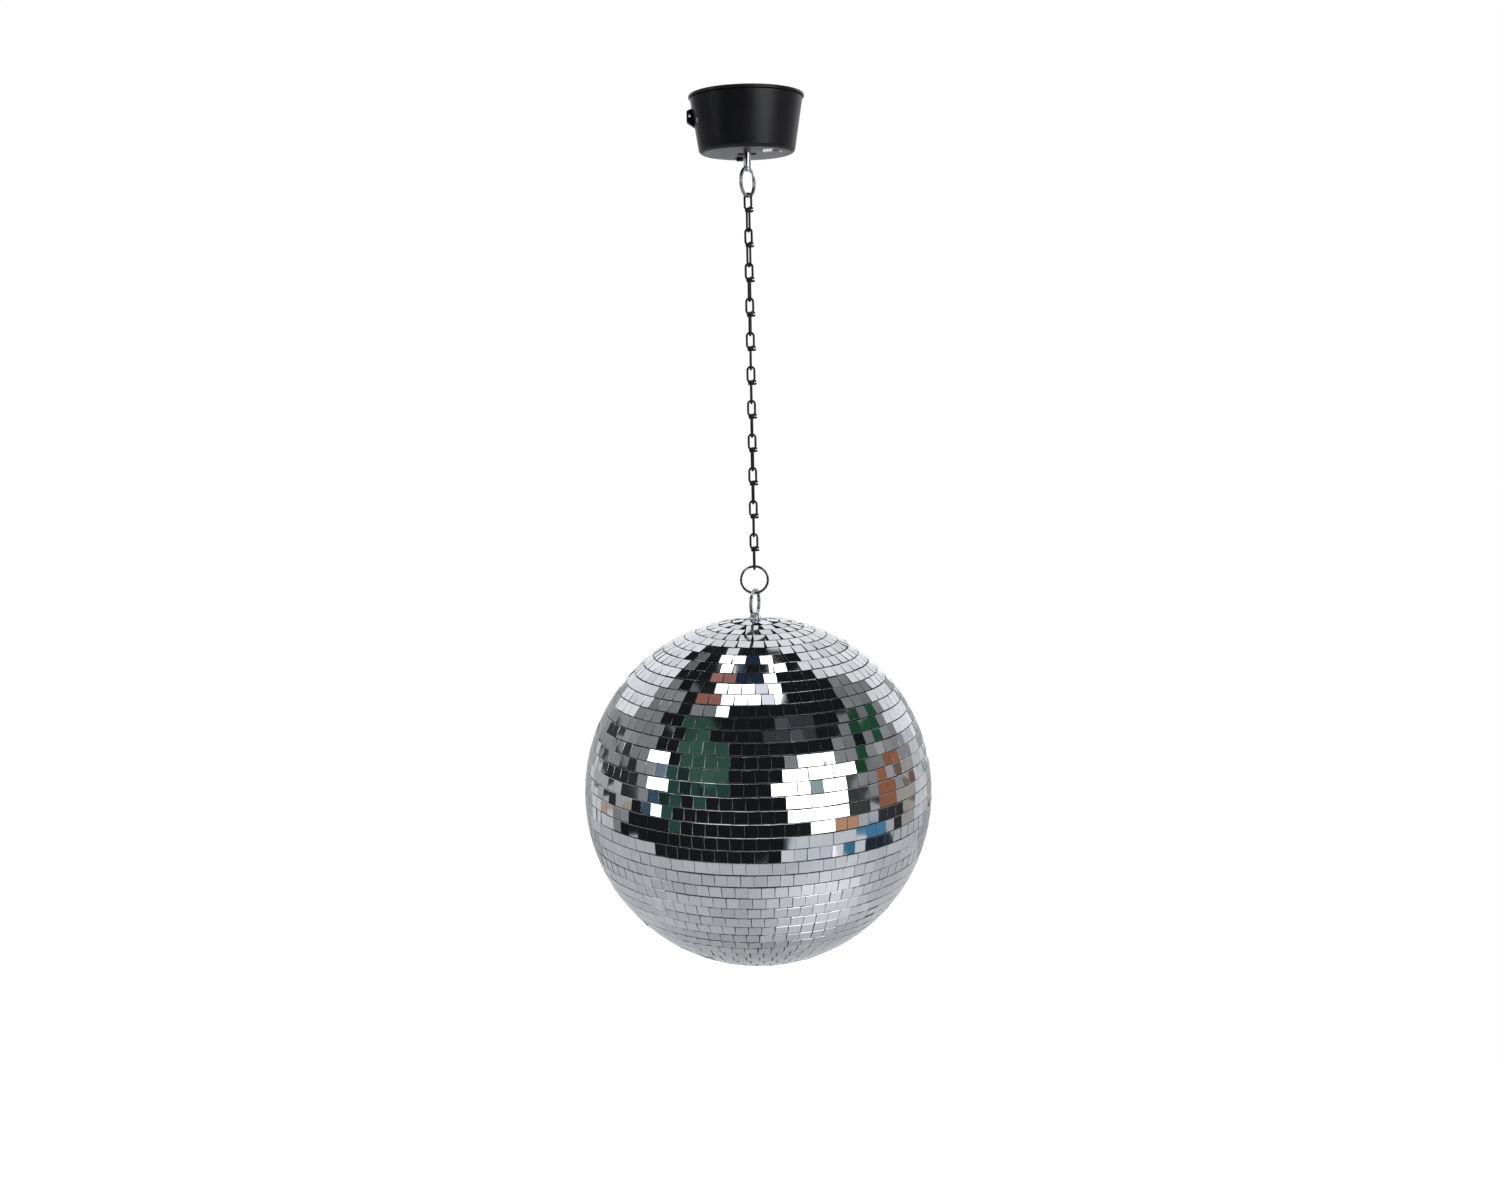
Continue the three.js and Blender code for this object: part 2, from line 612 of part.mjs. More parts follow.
const ball = new THREE.Group();
ball.position.z = ballZ;
root.add(ball);
const eye = part("eye_bolt", eyeBolt(), zinc);
eye.rotation.z = radians(EYE_YAW);
const topTile = poleAngle(TOP_TILE_EDGE, BALL_RADIUS);
const topShell = poleAngle(SHELL_HOLE, shellRadius);
const bottomTile = poleAngle(8.5, BALL_RADIUS);
ball.add(
  eye,
  part("pole_cap", poleCap(), zinc),
  part("backing_plate", tube(2.8, 14, 141.8, 143.2, 20), zinc),
  part("eye_nut", eyeNut(), zinc),
  part("upper_shell", sphereBand(shellRadius, SHELL, topShell, 90 - SEAM), greyPlastic),
  part("lower_shell", sphereBand(shellRadius, SHELL, 90 + SEAM, 180 - topShell), greyPlastic),
  part("upper_mirrors", sphereBand(BALL_RADIUS, GLASS, topTile, 90 - SEAM), mirror),
  part("lower_mirrors", sphereBand(BALL_RADIUS, GLASS, 90 + SEAM, 180 - bottomTile), mirror),
  part("joining_ring", tube(141.8, 144, -8, 8, BALL_SIDES), greyPlastic),
  part("bottom_plug", bottomPlug(), greyPlastic),
);

export default root;
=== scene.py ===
import math
import random

import bpy
from mathutils import Matrix, Vector


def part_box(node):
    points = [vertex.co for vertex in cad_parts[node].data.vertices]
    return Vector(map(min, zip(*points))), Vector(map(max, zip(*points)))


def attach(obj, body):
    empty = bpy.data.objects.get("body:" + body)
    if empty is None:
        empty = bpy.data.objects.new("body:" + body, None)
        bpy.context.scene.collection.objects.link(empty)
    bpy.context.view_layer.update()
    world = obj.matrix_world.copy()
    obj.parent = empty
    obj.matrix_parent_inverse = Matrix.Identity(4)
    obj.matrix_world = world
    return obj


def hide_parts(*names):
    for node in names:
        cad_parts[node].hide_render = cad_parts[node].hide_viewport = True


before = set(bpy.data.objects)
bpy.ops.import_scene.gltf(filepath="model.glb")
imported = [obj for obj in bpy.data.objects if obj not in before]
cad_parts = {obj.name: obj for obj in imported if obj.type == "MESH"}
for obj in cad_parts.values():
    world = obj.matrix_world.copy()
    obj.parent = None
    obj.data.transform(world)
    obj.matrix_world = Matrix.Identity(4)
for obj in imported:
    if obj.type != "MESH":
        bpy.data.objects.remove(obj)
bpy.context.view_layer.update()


# ---- Stage: floor, room and camera ----
# The ball hangs in a white cove. Its mirrors see the rest of the studio, painted on the sky by
# direction: a dark room with bright windows, a green hanging, timber doors and blue cases.
class Socket:
    """One output of a shader node. Arithmetic on it adds Math nodes to its tree."""

    def __init__(self, shader, end):
        self.shader = shader
        self.end = end

    def math(self, operation, *others):
        values = dict(enumerate((self, *others)))
        return self.shader.add("ShaderNodeMath", {"operation": operation}, values)

    def __add__(self, other):
        return self.math("ADD", other)

    __radd__ = __add__

    def __sub__(self, other):
        return self.math("SUBTRACT", other)

    def __rsub__(self, other):
        return (self * -1.0) + other

    def __mul__(self, other):
        return self.math("MULTIPLY", other)

    __rmul__ = __mul__

    def __truediv__(self, other):
        return self.math("DIVIDE", other)

    def __gt__(self, other):
        return self.math("GREATER_THAN", other)

    def __lt__(self, other):
        return self.math("LESS_THAN", other)


class Shader:
    """The node tree of one material or of the sky."""

    def __init__(self, tree):
        self.tree = tree
        tree.nodes.clear()

    def add(self, kind, settings=None, values=None, output=0):
        node = self.tree.nodes.new(kind)
        for name, value in (settings or {}).items():
            setattr(node, name, value)
        for name, value in (values or {}).items():
            end = node.inputs[name]
            if isinstance(value, Socket):
                self.tree.links.new(value.end, end)
            else:
                end.default_value = value
        return Socket(self, node.outputs[output]) if node.outputs else None

    def mix(self, factor, first, second):
        values = {0: factor, 6: first, 7: second}
        return self.add("ShaderNodeMix", {"data_type": "RGBA"}, values, 2)

    def vector(self, operation, first, second, output=0):
        values = {0: first, 1: second}
        return self.add("ShaderNodeVectorMath", {"operation": operation}, values, output)

    def noise(self, place, scale, detail=2.0, roughness=0.5):
        values = {"Vector": place, "Scale": scale, "Detail": detail, "Roughness": roughness}
        return self.add("ShaderNodeTexNoise", values=values)

    def bump(self, height, strength, distance):
        values = {"Height": height, "Strength": strength, "Distance": distance}
        return self.add("ShaderNodeBump", values=values)


def colour(red, green, blue):
    return (red, green, blue, 1.0)


def surface(name, paint, **constants):
    """A material: paint gets the shader and the Object position and gives what varies."""
    material = bpy.data.materials.new(name)
    material.use_nodes = True
    shader = Shader(material.node_tree)
    place = shader.add("ShaderNodeTexCoord", output="Object")
    values = {label.replace("_", " "): value for label, value in constants.items()}
    values.update(paint(shader, place))
    skin = shader.add("ShaderNodeBsdfPrincipled", values=values)
    shader.add("ShaderNodeOutputMaterial", values={"Surface": skin})
    return material


MM = 0.001
WHITE = colour(1.0, 1.0, 1.0)
ball_low, ball_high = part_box("lower_mirrors")[0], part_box("upper_mirrors")[1]
BALL_RADIUS = (ball_high.x - ball_low.x) / 2
BALL_CENTRE = Vector((0, 0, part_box("joining_ring")[0].z / 2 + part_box("joining_ring")[1].z / 2))
CAMERA_BACK = 1.200
CAMERA_RISE = 0.355  # above the middle of the ball
FLOOR_DROP = 0.37  # below the middle of the ball
DISC_RADIUS = 0.74

floor_level = BALL_CENTRE.z - FLOOR_DROP
bpy.ops.object.select_all(action="DESELECT")
bpy.ops.mesh.primitive_circle_add(
    vertices=96, radius=DISC_RADIUS, fill_type="NGON", location=(0, 0, floor_level)
)
floor = bpy.context.object
floor.name = "floor"
bpy.ops.object.transform_apply(location=True)


def floor_paint(shader, place):
    """White to look at; the mirrors see it dim, with one pool of painted light in front on the right,
    which the floor itself emits.
    """
    speckle = shader.noise(place, 40.0, 3.0)
    # painted light: a brighter pool round this point in a dim glow, emitted by the floor to every ray
    # but camera rays
    away = shader.vector("DISTANCE", place, (0.30, -0.30, floor_level), "Value")
    patch = shader.add("ShaderNodeClamp", values={"Value": 1.5 - away * 4.2})
    painted_light_glow = shader.mix(patch, colour(0.212, 0.215, 0.22), colour(0.56, 0.565, 0.575))
    seen = shader.add("ShaderNodeLightPath", output="Is Camera Ray")
    return {
        "Base Color": shader.mix(speckle, colour(0.365, 0.37, 0.38), colour(0.425, 0.43, 0.44)),
        "Emission Color": shader.mix(seen, painted_light_glow, WHITE),
    }


floor.data.materials.append(surface("floor_white", floor_paint, Roughness=0.8, Emission_Strength=1.0))


# The sky is painted in the coordinates of a mirror sphere seen from the front: for each
# direction, across and rise say where on such a sphere it is seen, from -1 to 1. Looked at
# directly the sky is plain white: only the mirrors, and the light it gives, have the room.
ROOM = 0.955  # the sphere seen from near by shows its middle a little larger
UNEVEN_ACROSS = 0.10
UNEVEN_RISE = 0.08


def paint_sky():
    world = bpy.data.worlds.new("studio")
    bpy.context.scene.world = world
    world.use_nodes = True
    shader = Shader(world.node_tree)
    mix = shader.mix
    tilt = math.atan2(CAMERA_RISE, CAMERA_BACK)
    towards = (0.0, -math.cos(tilt), math.sin(tilt))
    upwards = (0.0, math.sin(tilt), math.cos(tilt))
    ray = shader.add("ShaderNodeTexCoord", output="Generated")
    halfway = shader.vector("ADD", ray, towards)
    normal = shader.add("ShaderNodeVectorMath", {"operation": "NORMALIZE"}, {0: halfway})
    across = shader.vector("DOT_PRODUCT", normal, (1.0, 0.0, 0.0), "Value")
    rise = shader.vector("DOT_PRODUCT", normal, upwards, "Value")
    reach = (across * across + rise * rise).math("SQRT")
    across = across + (shader.noise(normal, 5.0, 3.0) - 0.5) * UNEVEN_ACROSS
    rise = rise + (shader.noise(normal, 7.0, 3.0) - 0.5) * UNEVEN_RISE

    def panel(left, right, low, high, lean=0.0):
        left, right, low, high = (ROOM * value for value in (left, right, low, high))
        slid = across - (rise - (low + high) / 2) * lean
        return (slid > left) * (slid < right) * (rise > low) * (rise < high)

    def disc(x, y, wide, tall):
        u = (across - ROOM * x) / (ROOM * wide)
        v = (rise - ROOM * y) / (ROOM * tall)
        return (u * u + v * v) < 1.0

    black = colour(0.012, 0.013, 0.016)
    window = colour(3.5, 3.56, 3.68)
    soot = shader.noise(normal, 9.0, 3.0)
    mottle = shader.noise(normal, 22.0, 2.0)
    bits = mottle > 0.58

    ceiling = mix(soot, colour(0.72, 0.74, 0.76), colour(1.15, 1.17, 1.2))
    walls = mix(soot, colour(0.48, 0.49, 0.51), colour(0.84, 0.86, 0.88))
    view = mix(rise > 0.30, walls, ceiling)
    far_wall = mix(soot, colour(0.12, 0.125, 0.13), colour(0.46, 0.47, 0.49))
    near_wall = mix(mottle, colour(0.14, 0.145, 0.15), colour(0.40, 0.41, 0.42))
    right_corner = mix(mottle, colour(0.03, 0.032, 0.035), colour(0.44, 0.45, 0.47))
    drape = mix(bits, colour(0.028, 0.075, 0.06), colour(0.014, 0.034, 0.028))
    drape_foot = mix(mottle, colour(0.03, 0.08, 0.06), colour(0.09, 0.19, 0.14))
    drape_middle = mix(mottle, colour(0.02, 0.06, 0.045), colour(0.075, 0.17, 0.125))
    drape_head = mix(mottle, colour(0.02, 0.055, 0.04), colour(0.06, 0.14, 0.10))
    cove = mix(mottle, colour(0.46, 0.47, 0.49), colour(0.62, 0.64, 0.67))
    for mask, tone in (
        # the back walls and the dark ceiling, with one window lying across it
        (disc(0.0, 0.06, 0.90, 0.66), far_wall),
        (disc(0.0, 0.15, 0.76, 0.58), near_wall),
        (panel(0.30, 0.62, 0.16, 0.64, 0.3), right_corner),
        (panel(-0.44, 0.28, 0.50, 0.82), mix(bits, black, colour(0.16, 0.17, 0.18))),
        (panel(-0.25, 0.38, 0.20, 0.60, 0.25), black),
        (panel(0.20, 0.46, 0.42, 0.66, -0.5), black),
        (panel(-0.56, -0.38, 0.10, 0.46, 0.2), mix(bits, black, colour(0.20, 0.21, 0.22))),
        (panel(-0.27, 0.15, 0.47, 0.79, 0.15), window),
        (panel(-0.10, 0.06, 0.62, 0.75), colour(0.02, 0.03, 0.06)),
        (panel(-0.04, 0.12, 0.55, 0.63), colour(1.1, 1.12, 1.2)),
        (panel(-0.24, -0.12, 0.60, 0.67), colour(0.36, 0.17, 0.14)),
        (
            panel(-0.36, -0.24, 0.46, 0.54, 0.3),
            mix(bits, colour(0.34, 0.14, 0.11), colour(0.10, 0.04, 0.04)),
        ),
        # the dark middle of the room
        (panel(-0.20, 0.45, 0.16, 0.47, 0.1), black),
        (
            panel(0.02, 0.34, 0.27, 0.42, -0.2),
            mix(bits, colour(0.05, 0.055, 0.06), colour(0.09, 0.10, 0.11)),
        ),
        (panel(-0.80, 0.31, -0.40, -0.06), black),
        (panel(-0.34, 0.16, -0.10, 0.24), black),
        (panel(0.02, 0.14, -0.22, 0.10), mix(bits, black, colour(0.05, 0.018, 0.014))),
        # side windows on the left, then the green hanging
        (panel(-0.62, -0.53, -0.02, 0.26, 0.25), mix(bits, window, colour(0.14, 0.20, 0.28))),
        (
            panel(-0.66, -0.54, -0.16, 0.00, 0.25),
            mix(mottle > 0.46, window, colour(0.05, 0.09, 0.15)),
        ),
        (panel(-0.56, -0.17, -0.07, 0.13), drape),
        (panel(-0.36, -0.17, -0.03, 0.14), drape_foot),
        (panel(-0.46, -0.19, 0.10, 0.27), drape_middle),
        (panel(-0.41, -0.24, 0.24, 0.41), drape_head),
        (panel(-0.54, -0.47, -0.21, -0.04), colour(0.03, 0.09, 0.07)),
        # the white cove below, and the large window on the right
        (rise < across * across * 0.34 - 0.42, cove),
        (disc(0.335, -0.03, 0.21, 0.225), window),
        (panel(0.34, 0.53, 0.00, 0.15), mix(bits, window, black)),
        (panel(0.31, 0.37, -0.02, 0.03), colour(0.35, 0.45, 0.46)),
        # shelves, plants, timber doors and blue cases on the right
        (
            panel(0.52, 0.66, -0.14, 0.12),
            mix(bits, colour(0.06, 0.06, 0.06), colour(0.30, 0.30, 0.30)),
        ),
        (panel(0.55, 0.61, -0.05, 0.42), mix(bits, colour(0.02, 0.075, 0.035), black)),
        (
            panel(0.70, 0.80, -0.12, 0.24),
            mix(bits, colour(0.34, 0.14, 0.08), colour(0.42, 0.42, 0.43)),
        ),
        (
            panel(0.64, 0.72, 0.26, 0.46),
            mix(bits, colour(0.02, 0.09, 0.05), colour(0.25, 0.26, 0.26)),
        ),
        (
            panel(0.60, 0.86, -0.26, -0.10),
            mix(bits, colour(0.04, 0.04, 0.045), colour(0.50, 0.52, 0.55)),
        ),
        (panel(0.45, 0.60, -0.22, -0.16), colour(0.60, 0.32, 0.20)),
        (panel(0.60, 0.78, -0.33, -0.20), colour(0.02, 0.03, 0.05)),
        (panel(0.55, 0.74, -0.28, -0.19), colour(0.08, 0.26, 0.44)),
        (
            panel(0.14, 0.62, -0.42, -0.27),
            mix(bits, colour(0.75, 0.77, 0.82), colour(1.3, 1.34, 1.4)),
        ),
        (
            panel(0.42, 0.58, -0.46, -0.36),
            mix(bits, colour(0.05, 0.20, 0.34), colour(0.60, 0.64, 0.70)),
        ),
        # both ends of the room
        (
            panel(-0.95, -0.70, -0.14, 0.16),
            mix(mottle > 0.48, colour(0.48, 0.48, 0.50), colour(0.03, 0.035, 0.04)),
        ),
        (
            panel(-0.93, -0.76, 0.16, 0.46),
            mix(mottle > 0.54, colour(0.34, 0.35, 0.36), colour(0.05, 0.055, 0.06)),
        ),
        (panel(-0.93, -0.72, -0.14, -0.08), colour(0.45, 0.36, 0.32)),
        (
            panel(0.82, 0.92, -0.22, 0.16),
            mix(bits, colour(0.42, 0.40, 0.38), colour(0.20, 0.13, 0.10)),
        ),
    ):
        view = mix(mask, view, tone)
    view = mix((reach > 0.95) * (rise < 0.6), view, colour(0.40, 0.41, 0.43))
    seen = shader.add("ShaderNodeLightPath", output="Is Camera Ray")
    sky = shader.add("ShaderNodeBackground", values={"Color": mix(seen, view, WHITE), "Strength": 1.0})
    shader.add("ShaderNodeOutputWorld", values={"Surface": sky})


paint_sky()


def soft_light(name, place, aim, size, power):
    bpy.ops.object.light_add(type="AREA", location=place)
    light = bpy.context.object
    light.name = name
    light.data.shape = "RECTANGLE"
    light.data.size = size[0]
    light.data.size_y = size[1]
    light.data.energy = power
    light.rotation_euler = (Vector(place) - Vector(aim)).to_track_quat("Z", "Y").to_euler()
    light.visible_camera = False
    light.visible_glossy = False


soft_light("overhead", (0.3, -0.2, 1.3), (0, 0, -0.4), (1.6, 1.6), 6)
soft_light("side", (1.7, -1.3, 0.1), (0, 0, -0.3), (0.8, 1.2), 7)
soft_light("floor_bounce", (0.0, 0.0, floor_level + 0.02), (0, 0, 1), (1.4, 1.4), 5)

CAMERA_ASIDE = -0.0042
PITCH = 8.9
ROLL = -1.04
LENS = 34.08
bpy.ops.object.camera_add(
    location=(CAMERA_ASIDE, -CAMERA_BACK, BALL_CENTRE.z + CAMERA_RISE),
    rotation=(math.radians(90 - PITCH), 0, 0),
)
camera = bpy.context.object
camera.matrix_world = camera.matrix_world @ Matrix.Rotation(math.radians(ROLL), 4, "Z")
camera.data.lens = LENS
camera.data.sensor_width = 36
camera.data.clip_start = 0.01
bpy.context.scene.camera = camera
bpy.context.scene.view_settings.view_transform = "Standard"


# ---- Ceiling plate ----
# Moulded black plastic disc that takes the two ceiling screws; the housing closes over its
# skirt and its long tongue carries the lock screw's nut.
def turned(name, profile, sides, centre=(0.0, 0.0), solid=True):
    """A turned piece: a circle is extruded and scaled from one (radius, height) to the next."""
    radius, height = profile[0]
    bpy.ops.object.select_all(action="DESELECT")
    bpy.ops.mesh.primitive_circle_add(
        vertices=sides,
        radius=radius,
        fill_type="NGON" if solid else "NOTHING",
        location=(centre[0], centre[1], height),
    )
    piece = bpy.context.object
    piece.name = name
    piece.data.name = name
    bpy.ops.object.mode_set(mode="EDIT")
    bpy.ops.mesh.select_all(action="SELECT")
    for next_radius, next_height in profile[1:]:
        bpy.ops.mesh.extrude_region_move(
            TRANSFORM_OT_translate={"value": (0, 0, next_height - height)}
        )
        share = next_radius / radius
        middle = (centre[0], centre[1], next_height)
        bpy.ops.transform.resize(value=(share, share, 1), center_override=middle)
        radius, height = next_radius, next_height
    bpy.ops.mesh.select_all(action="SELECT")
    bpy.ops.mesh.remove_doubles(threshold=1e-6)
    bpy.ops.mesh.normals_make_consistent(inside=False)
    bpy.ops.object.mode_set(mode="OBJECT")
    bpy.ops.object.transform_apply(location=True)
    return piece


def smooth(piece, degrees=32):
    bpy.ops.object.select_all(action="DESELECT")
    bpy.context.view_layer.objects.active = piece
    piece.select_set(True)
    bpy.ops.object.shade_smooth_by_angle(angle=math.radians(degrees))
    return piece


def combine(piece, other, operation):
    """One piece cut by or joined to another, which is used up."""
    bpy.ops.object.select_all(action="DESELECT")
    bpy.context.view_layer.objects.active = piece
    piece.select_set(True)
    step = piece.modifiers.new("combine", "BOOLEAN")
    step.operation = operation
    step.solver = "EXACT"
    step.object = other
    bpy.ops.object.modifier_apply(modifier=step.name)
    bpy.data.objects.remove(other)
    return piece


def block(name, size, centre, edge=0.0, turn=0.0, segments=3):
    """A box with rounded edges, turned about the vertical."""
    bpy.ops.object.select_all(action="DESELECT")
    bpy.ops.mesh.primitive_cube_add(size=1, location=centre, rotation=(0, 0, math.radians(turn)))
    piece = bpy.context.object
    piece.name = name
    piece.data.name = name
    piece.scale = size
    bpy.ops.object.transform_apply(location=True, rotation=True, scale=True)
    if edge:
        bpy.ops.object.mode_set(mode="EDIT")
        bpy.ops.mesh.select_all(action="SELECT")
        bpy.ops.mesh.bevel(offset=edge, segments=segments, affect="EDGES")
        bpy.ops.object.mode_set(mode="OBJECT")
    return piece


def dress(piece, material, body, slot, *nodes):
    """Gives a new piece its finish and its body, and hides the CAD nodes it stands for; slot is not
    used.
    """
    piece.data.materials.clear()
    piece.data.materials.append(material)
    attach(piece, body)
    if nodes:
        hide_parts(*nodes)
    return piece


def moulded(name, dark, light, grain=900.0, rough=0.5, coat=0.0, shine=0.5):
    """Moulded plastic: a fine spark-eroded grain, faint flow marks and rubbed patches."""

    def paint(shader, place):
        skin = shader.noise(place, grain, 2.0, 0.6)
        patches = shader.noise(place, 38.0, 4.0, 0.55)
        tone = shader.mix(patches, colour(*dark), colour(*light))
        return {
            "Base Color": tone,
            "Roughness": patches * 0.16 + skin * 0.08 + (rough - 0.12),
            "Normal": shader.bump(skin, 0.35, 0.00012),
        }

    return surface(name, paint, Coat_Weight=coat, Coat_Roughness=0.2, Specular_IOR_Level=shine)


black_plastic = moulded(
    "black_plastic", (0.005, 0.005, 0.006), (0.010, 0.010, 0.012), rough=0.34, shine=0.25
)
underside_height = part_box("housing")[0].z
plate_low, plate_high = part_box("ceiling_plate")
PLATE_RADIUS = (plate_high.x - plate_low.x) / 2
RIM_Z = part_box("housing")[1].z + 0.3 * MM
SKIRT_IN = 39.6 * MM
SKIRT_OUT = 41.4 * MM
SKIRT_FOOT = underside_height + 37 * MM
ceiling_plate = turned(
    "ceiling_plate_moulding",
    [
        (0.2 * MM, 0.0),
        (PLATE_RADIUS - 1.1 * MM, 0.0),
        (PLATE_RADIUS - 0.5 * MM, -0.25 * MM),
        (PLATE_RADIUS - 0.1 * MM, -0.7 * MM),
        (PLATE_RADIUS, -1.2 * MM),
        (PLATE_RADIUS, RIM_Z + 0.3 * MM),
        (PLATE_RADIUS - 0.3 * MM, RIM_Z),
        (SKIRT_OUT, RIM_Z),
        (SKIRT_OUT - 0.3 * MM, SKIRT_FOOT),
        (SKIRT_IN + 0.3 * MM, SKIRT_FOOT),
        (SKIRT_IN, RIM_Z),
        (0.2 * MM, RIM_Z),
    ],
    128,
)
LOCK_BEARING = 204.3
TONGUE_REACH = 39 * MM
TONGUE_LOW = underside_height + 21.4 * MM
lock_turn = math.radians(LOCK_BEARING)
lock_direction = Vector((math.cos(lock_turn), math.sin(lock_turn), 0))
tongue_middle = lock_direction * TONGUE_REACH + Vector((0, 0, (TONGUE_LOW + RIM_Z) / 2))
tongue_size = (1.6 * MM, 7 * MM, RIM_Z - TONGUE_LOW + 1 * MM)
combine(
    ceiling_plate, block("tongue", tongue_size, tongue_middle, 0.3 * MM, LOCK_BEARING), "UNION"
)
SCREW_SPACING = 50 * MM
countersunk = [(2.25 * MM, -8 * MM), (2.25 * MM, -1.6 * MM), (4.2 * MM, 0.4 * MM)]
for side in (-1, 1):
    drill = turned("drill", countersunk, 32, (side * SCREW_SPACING / 2, 0))
    combine(ceiling_plate, drill, "DIFFERENCE")
dress(smooth(ceiling_plate), black_plastic, "motor_body", "black_plastic", "ceiling_plate")


# ---- Motor housing ----
# A tapered cup moulded in black plastic with a rounded lower edge, a wedge-shaped eye for a
# safety wire, posts inside for the gear plate, and a shallow dish round the shaft.
WALL_SLOPE = 0.157
FLOOR_RADIUS = 38.9 * MM
WALL = 2 * MM
ROUNDING = 3 * MM


def wall_radius(height):
    return FLOOR_RADIUS + WALL_SLOPE * height


def up(height):
    """A height above the underside, in the frame."""
    return underside_height + height


rim_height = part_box("housing")[1].z - underside_height
outline = [
    (5.6 * MM, up(1.2 * MM)),
    (7.6 * MM, up(0.9 * MM)),
    (8.0 * MM, up(0)),
    (wall_radius(0) - ROUNDING, up(0)),
]
for step in range(1, 9):
    turn = math.radians(step * 10)
    inset = ROUNDING * (1 - math.sin(turn))
    lift = ROUNDING * (1 - math.cos(turn))
    outline.append((wall_radius(lift) - inset, up(lift)))
outline += [
    (wall_radius(ROUNDING), up(ROUNDING)),
    (wall_radius(rim_height - 0.4 * MM), up(rim_height - 0.4 * MM)),
    (wall_radius(rim_height) - 0.4 * MM, up(rim_height)),
    (wall_radius(rim_height) - WALL, up(rim_height)),
    (wall_radius(4.4 * MM) - WALL, up(4.4 * MM)),
    (wall_radius(2.4 * MM) - WALL - 1.6 * MM, up(2.4 * MM)),
    (5.6 * MM, up(2.4 * MM)),
    (5.6 * MM, up(1.2 * MM)),
]
housing = turned("housing_moulding", outline, 160, solid=False)

lug = block("lug", (7.6 * MM, 8 * MM, 17 * MM), (-44.8 * MM, 0, up(28.5 * MM)))
for corner in lug.data.vertices:
    if corner.co.x < -46 * MM:  # the free end is lower at the top and higher at the foot
        corner.co.z += 5 * MM if corner.co.z < up(28 * MM) else -3 * MM
bpy.ops.object.mode_set(mode="EDIT")
bpy.ops.mesh.select_all(action="SELECT")
bpy.ops.mesh.bevel(offset=1.1 * MM, segments=4, affect="EDGES")
bpy.ops.object.mode_set(mode="OBJECT")
eye_hole = turned("eye_hole", [(1.1 * MM, -6 * MM), (1.1 * MM, 6 * MM)], 24)
eye_hole.rotation_euler = (math.radians(90), 0, 0)
eye_hole.location = (-46.2 * MM, 0, up(30 * MM))
bpy.ops.object.transform_apply(location=True, rotation=True)
combine(lug, eye_hole, "DIFFERENCE")
combine(housing, lug, "UNION")

POST_REACH = 33 * MM
POST_BEARINGS = (75, 165, -50)
post_sides = [(3.1 * MM, up(2.0 * MM)), (2.9 * MM, up(16.4 * MM)), (2.7 * MM, up(16.6 * MM))]
pilot_sides = [(1.4 * MM, up(8 * MM)), (1.4 * MM, up(18 * MM))]
for bearing in POST_BEARINGS:
    turn = math.radians(bearing)
    place = (math.cos(turn) * POST_REACH, math.sin(turn) * POST_REACH)
    combine(housing, turned("post", post_sides, 32, place), "UNION")
    combine(housing, turned("pilot", pilot_sides, 24, place), "DIFFERENCE")

knob_low, knob_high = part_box("switch_knob")
switch_middle = (knob_low + knob_high) / 2
TRAVEL = 4 * MM
slot_middle = (switch_middle.x + TRAVEL / 2, switch_middle.y, up(1 * MM))
slot_long = knob_high.x - knob_low.x + TRAVEL + 0.6 * MM
slot_wide = knob_high.y - knob_low.y + 0.6 * MM
slot = block("slot", (slot_long, slot_wide, 6 * MM), slot_middle, 0.25 * MM)
combine(housing, slot, "DIFFERENCE")
dish_size = (slot_long + 3 * MM, slot_wide + 2.4 * MM, 1.0 * MM)
dish = block("dish", dish_size, (slot_middle[0], slot_middle[1], up(0)), 0.3 * MM)
combine(housing, dish, "DIFFERENCE")
lamp_places = {}
lamp_hole = [(2.9 * MM, up(-0.3 * MM)), (2.2 * MM, up(0.4 * MM)), (2.2 * MM, up(4 * MM))]
for node in ("led_red", "led_amber"):
    low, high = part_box(node)
    lamp_places[node] = ((low.x + high.x) / 2, (low.y + high.y) / 2)
    combine(housing, turned("hole", lamp_hole, 40, lamp_places[node]), "DIFFERENCE")
label_low, label_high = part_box("label_plate")
label_middle = (label_low + label_high) / 2
label_size = label_high - label_low
bed_size = (label_size.x + 0.6 * MM, label_size.y + 0.6 * MM, 1.2 * MM)
bed = block("bed", bed_size, (label_middle.x, label_middle.y, up(0)), 0.25 * MM)
combine(housing, bed, "DIFFERENCE")
dress(smooth(housing, 28), black_plastic, "motor_body", "black_plastic", "housing")


# ---- Label ----
# A blank white card with rounded corners, cut from coated board and glued into its shallow
# bed in the underside, beside the shaft.
def card_paint(shader, place):
    fibre = shader.noise(place, 600.0, 3.0)
    stain = shader.noise(place, 90.0, 2.0)
    return {
        "Base Color": shader.mix(stain, colour(0.80, 0.80, 0.79), colour(0.90, 0.90, 0.90)),
        "Roughness": fibre * 0.15 + 0.25,
        "Normal": shader.bump(fibre, 0.1, 0.00005),
    }


label = block("label_card", label_size, label_middle)
bpy.ops.object.mode_set(mode="EDIT")
bpy.ops.mesh.select_all(action="DESELECT")
bpy.ops.object.mode_set(mode="OBJECT")
for edge in label.data.edges:
    ends = [label.data.vertices[i].co for i in edge.vertices]
    edge.select = abs(ends[0].z - ends[1].z) > 0.1 * MM
bpy.ops.object.mode_set(mode="EDIT")
bpy.ops.mesh.bevel(offset=0.9 * MM, segments=5, affect="EDGES")
bpy.ops.object.mode_set(mode="OBJECT")
white_card = surface("white_card", card_paint, Coat_Weight=0.4, Coat_Roughness=0.1)
dress(smooth(label), white_card, "motor_body", "white_label", "label_plate")


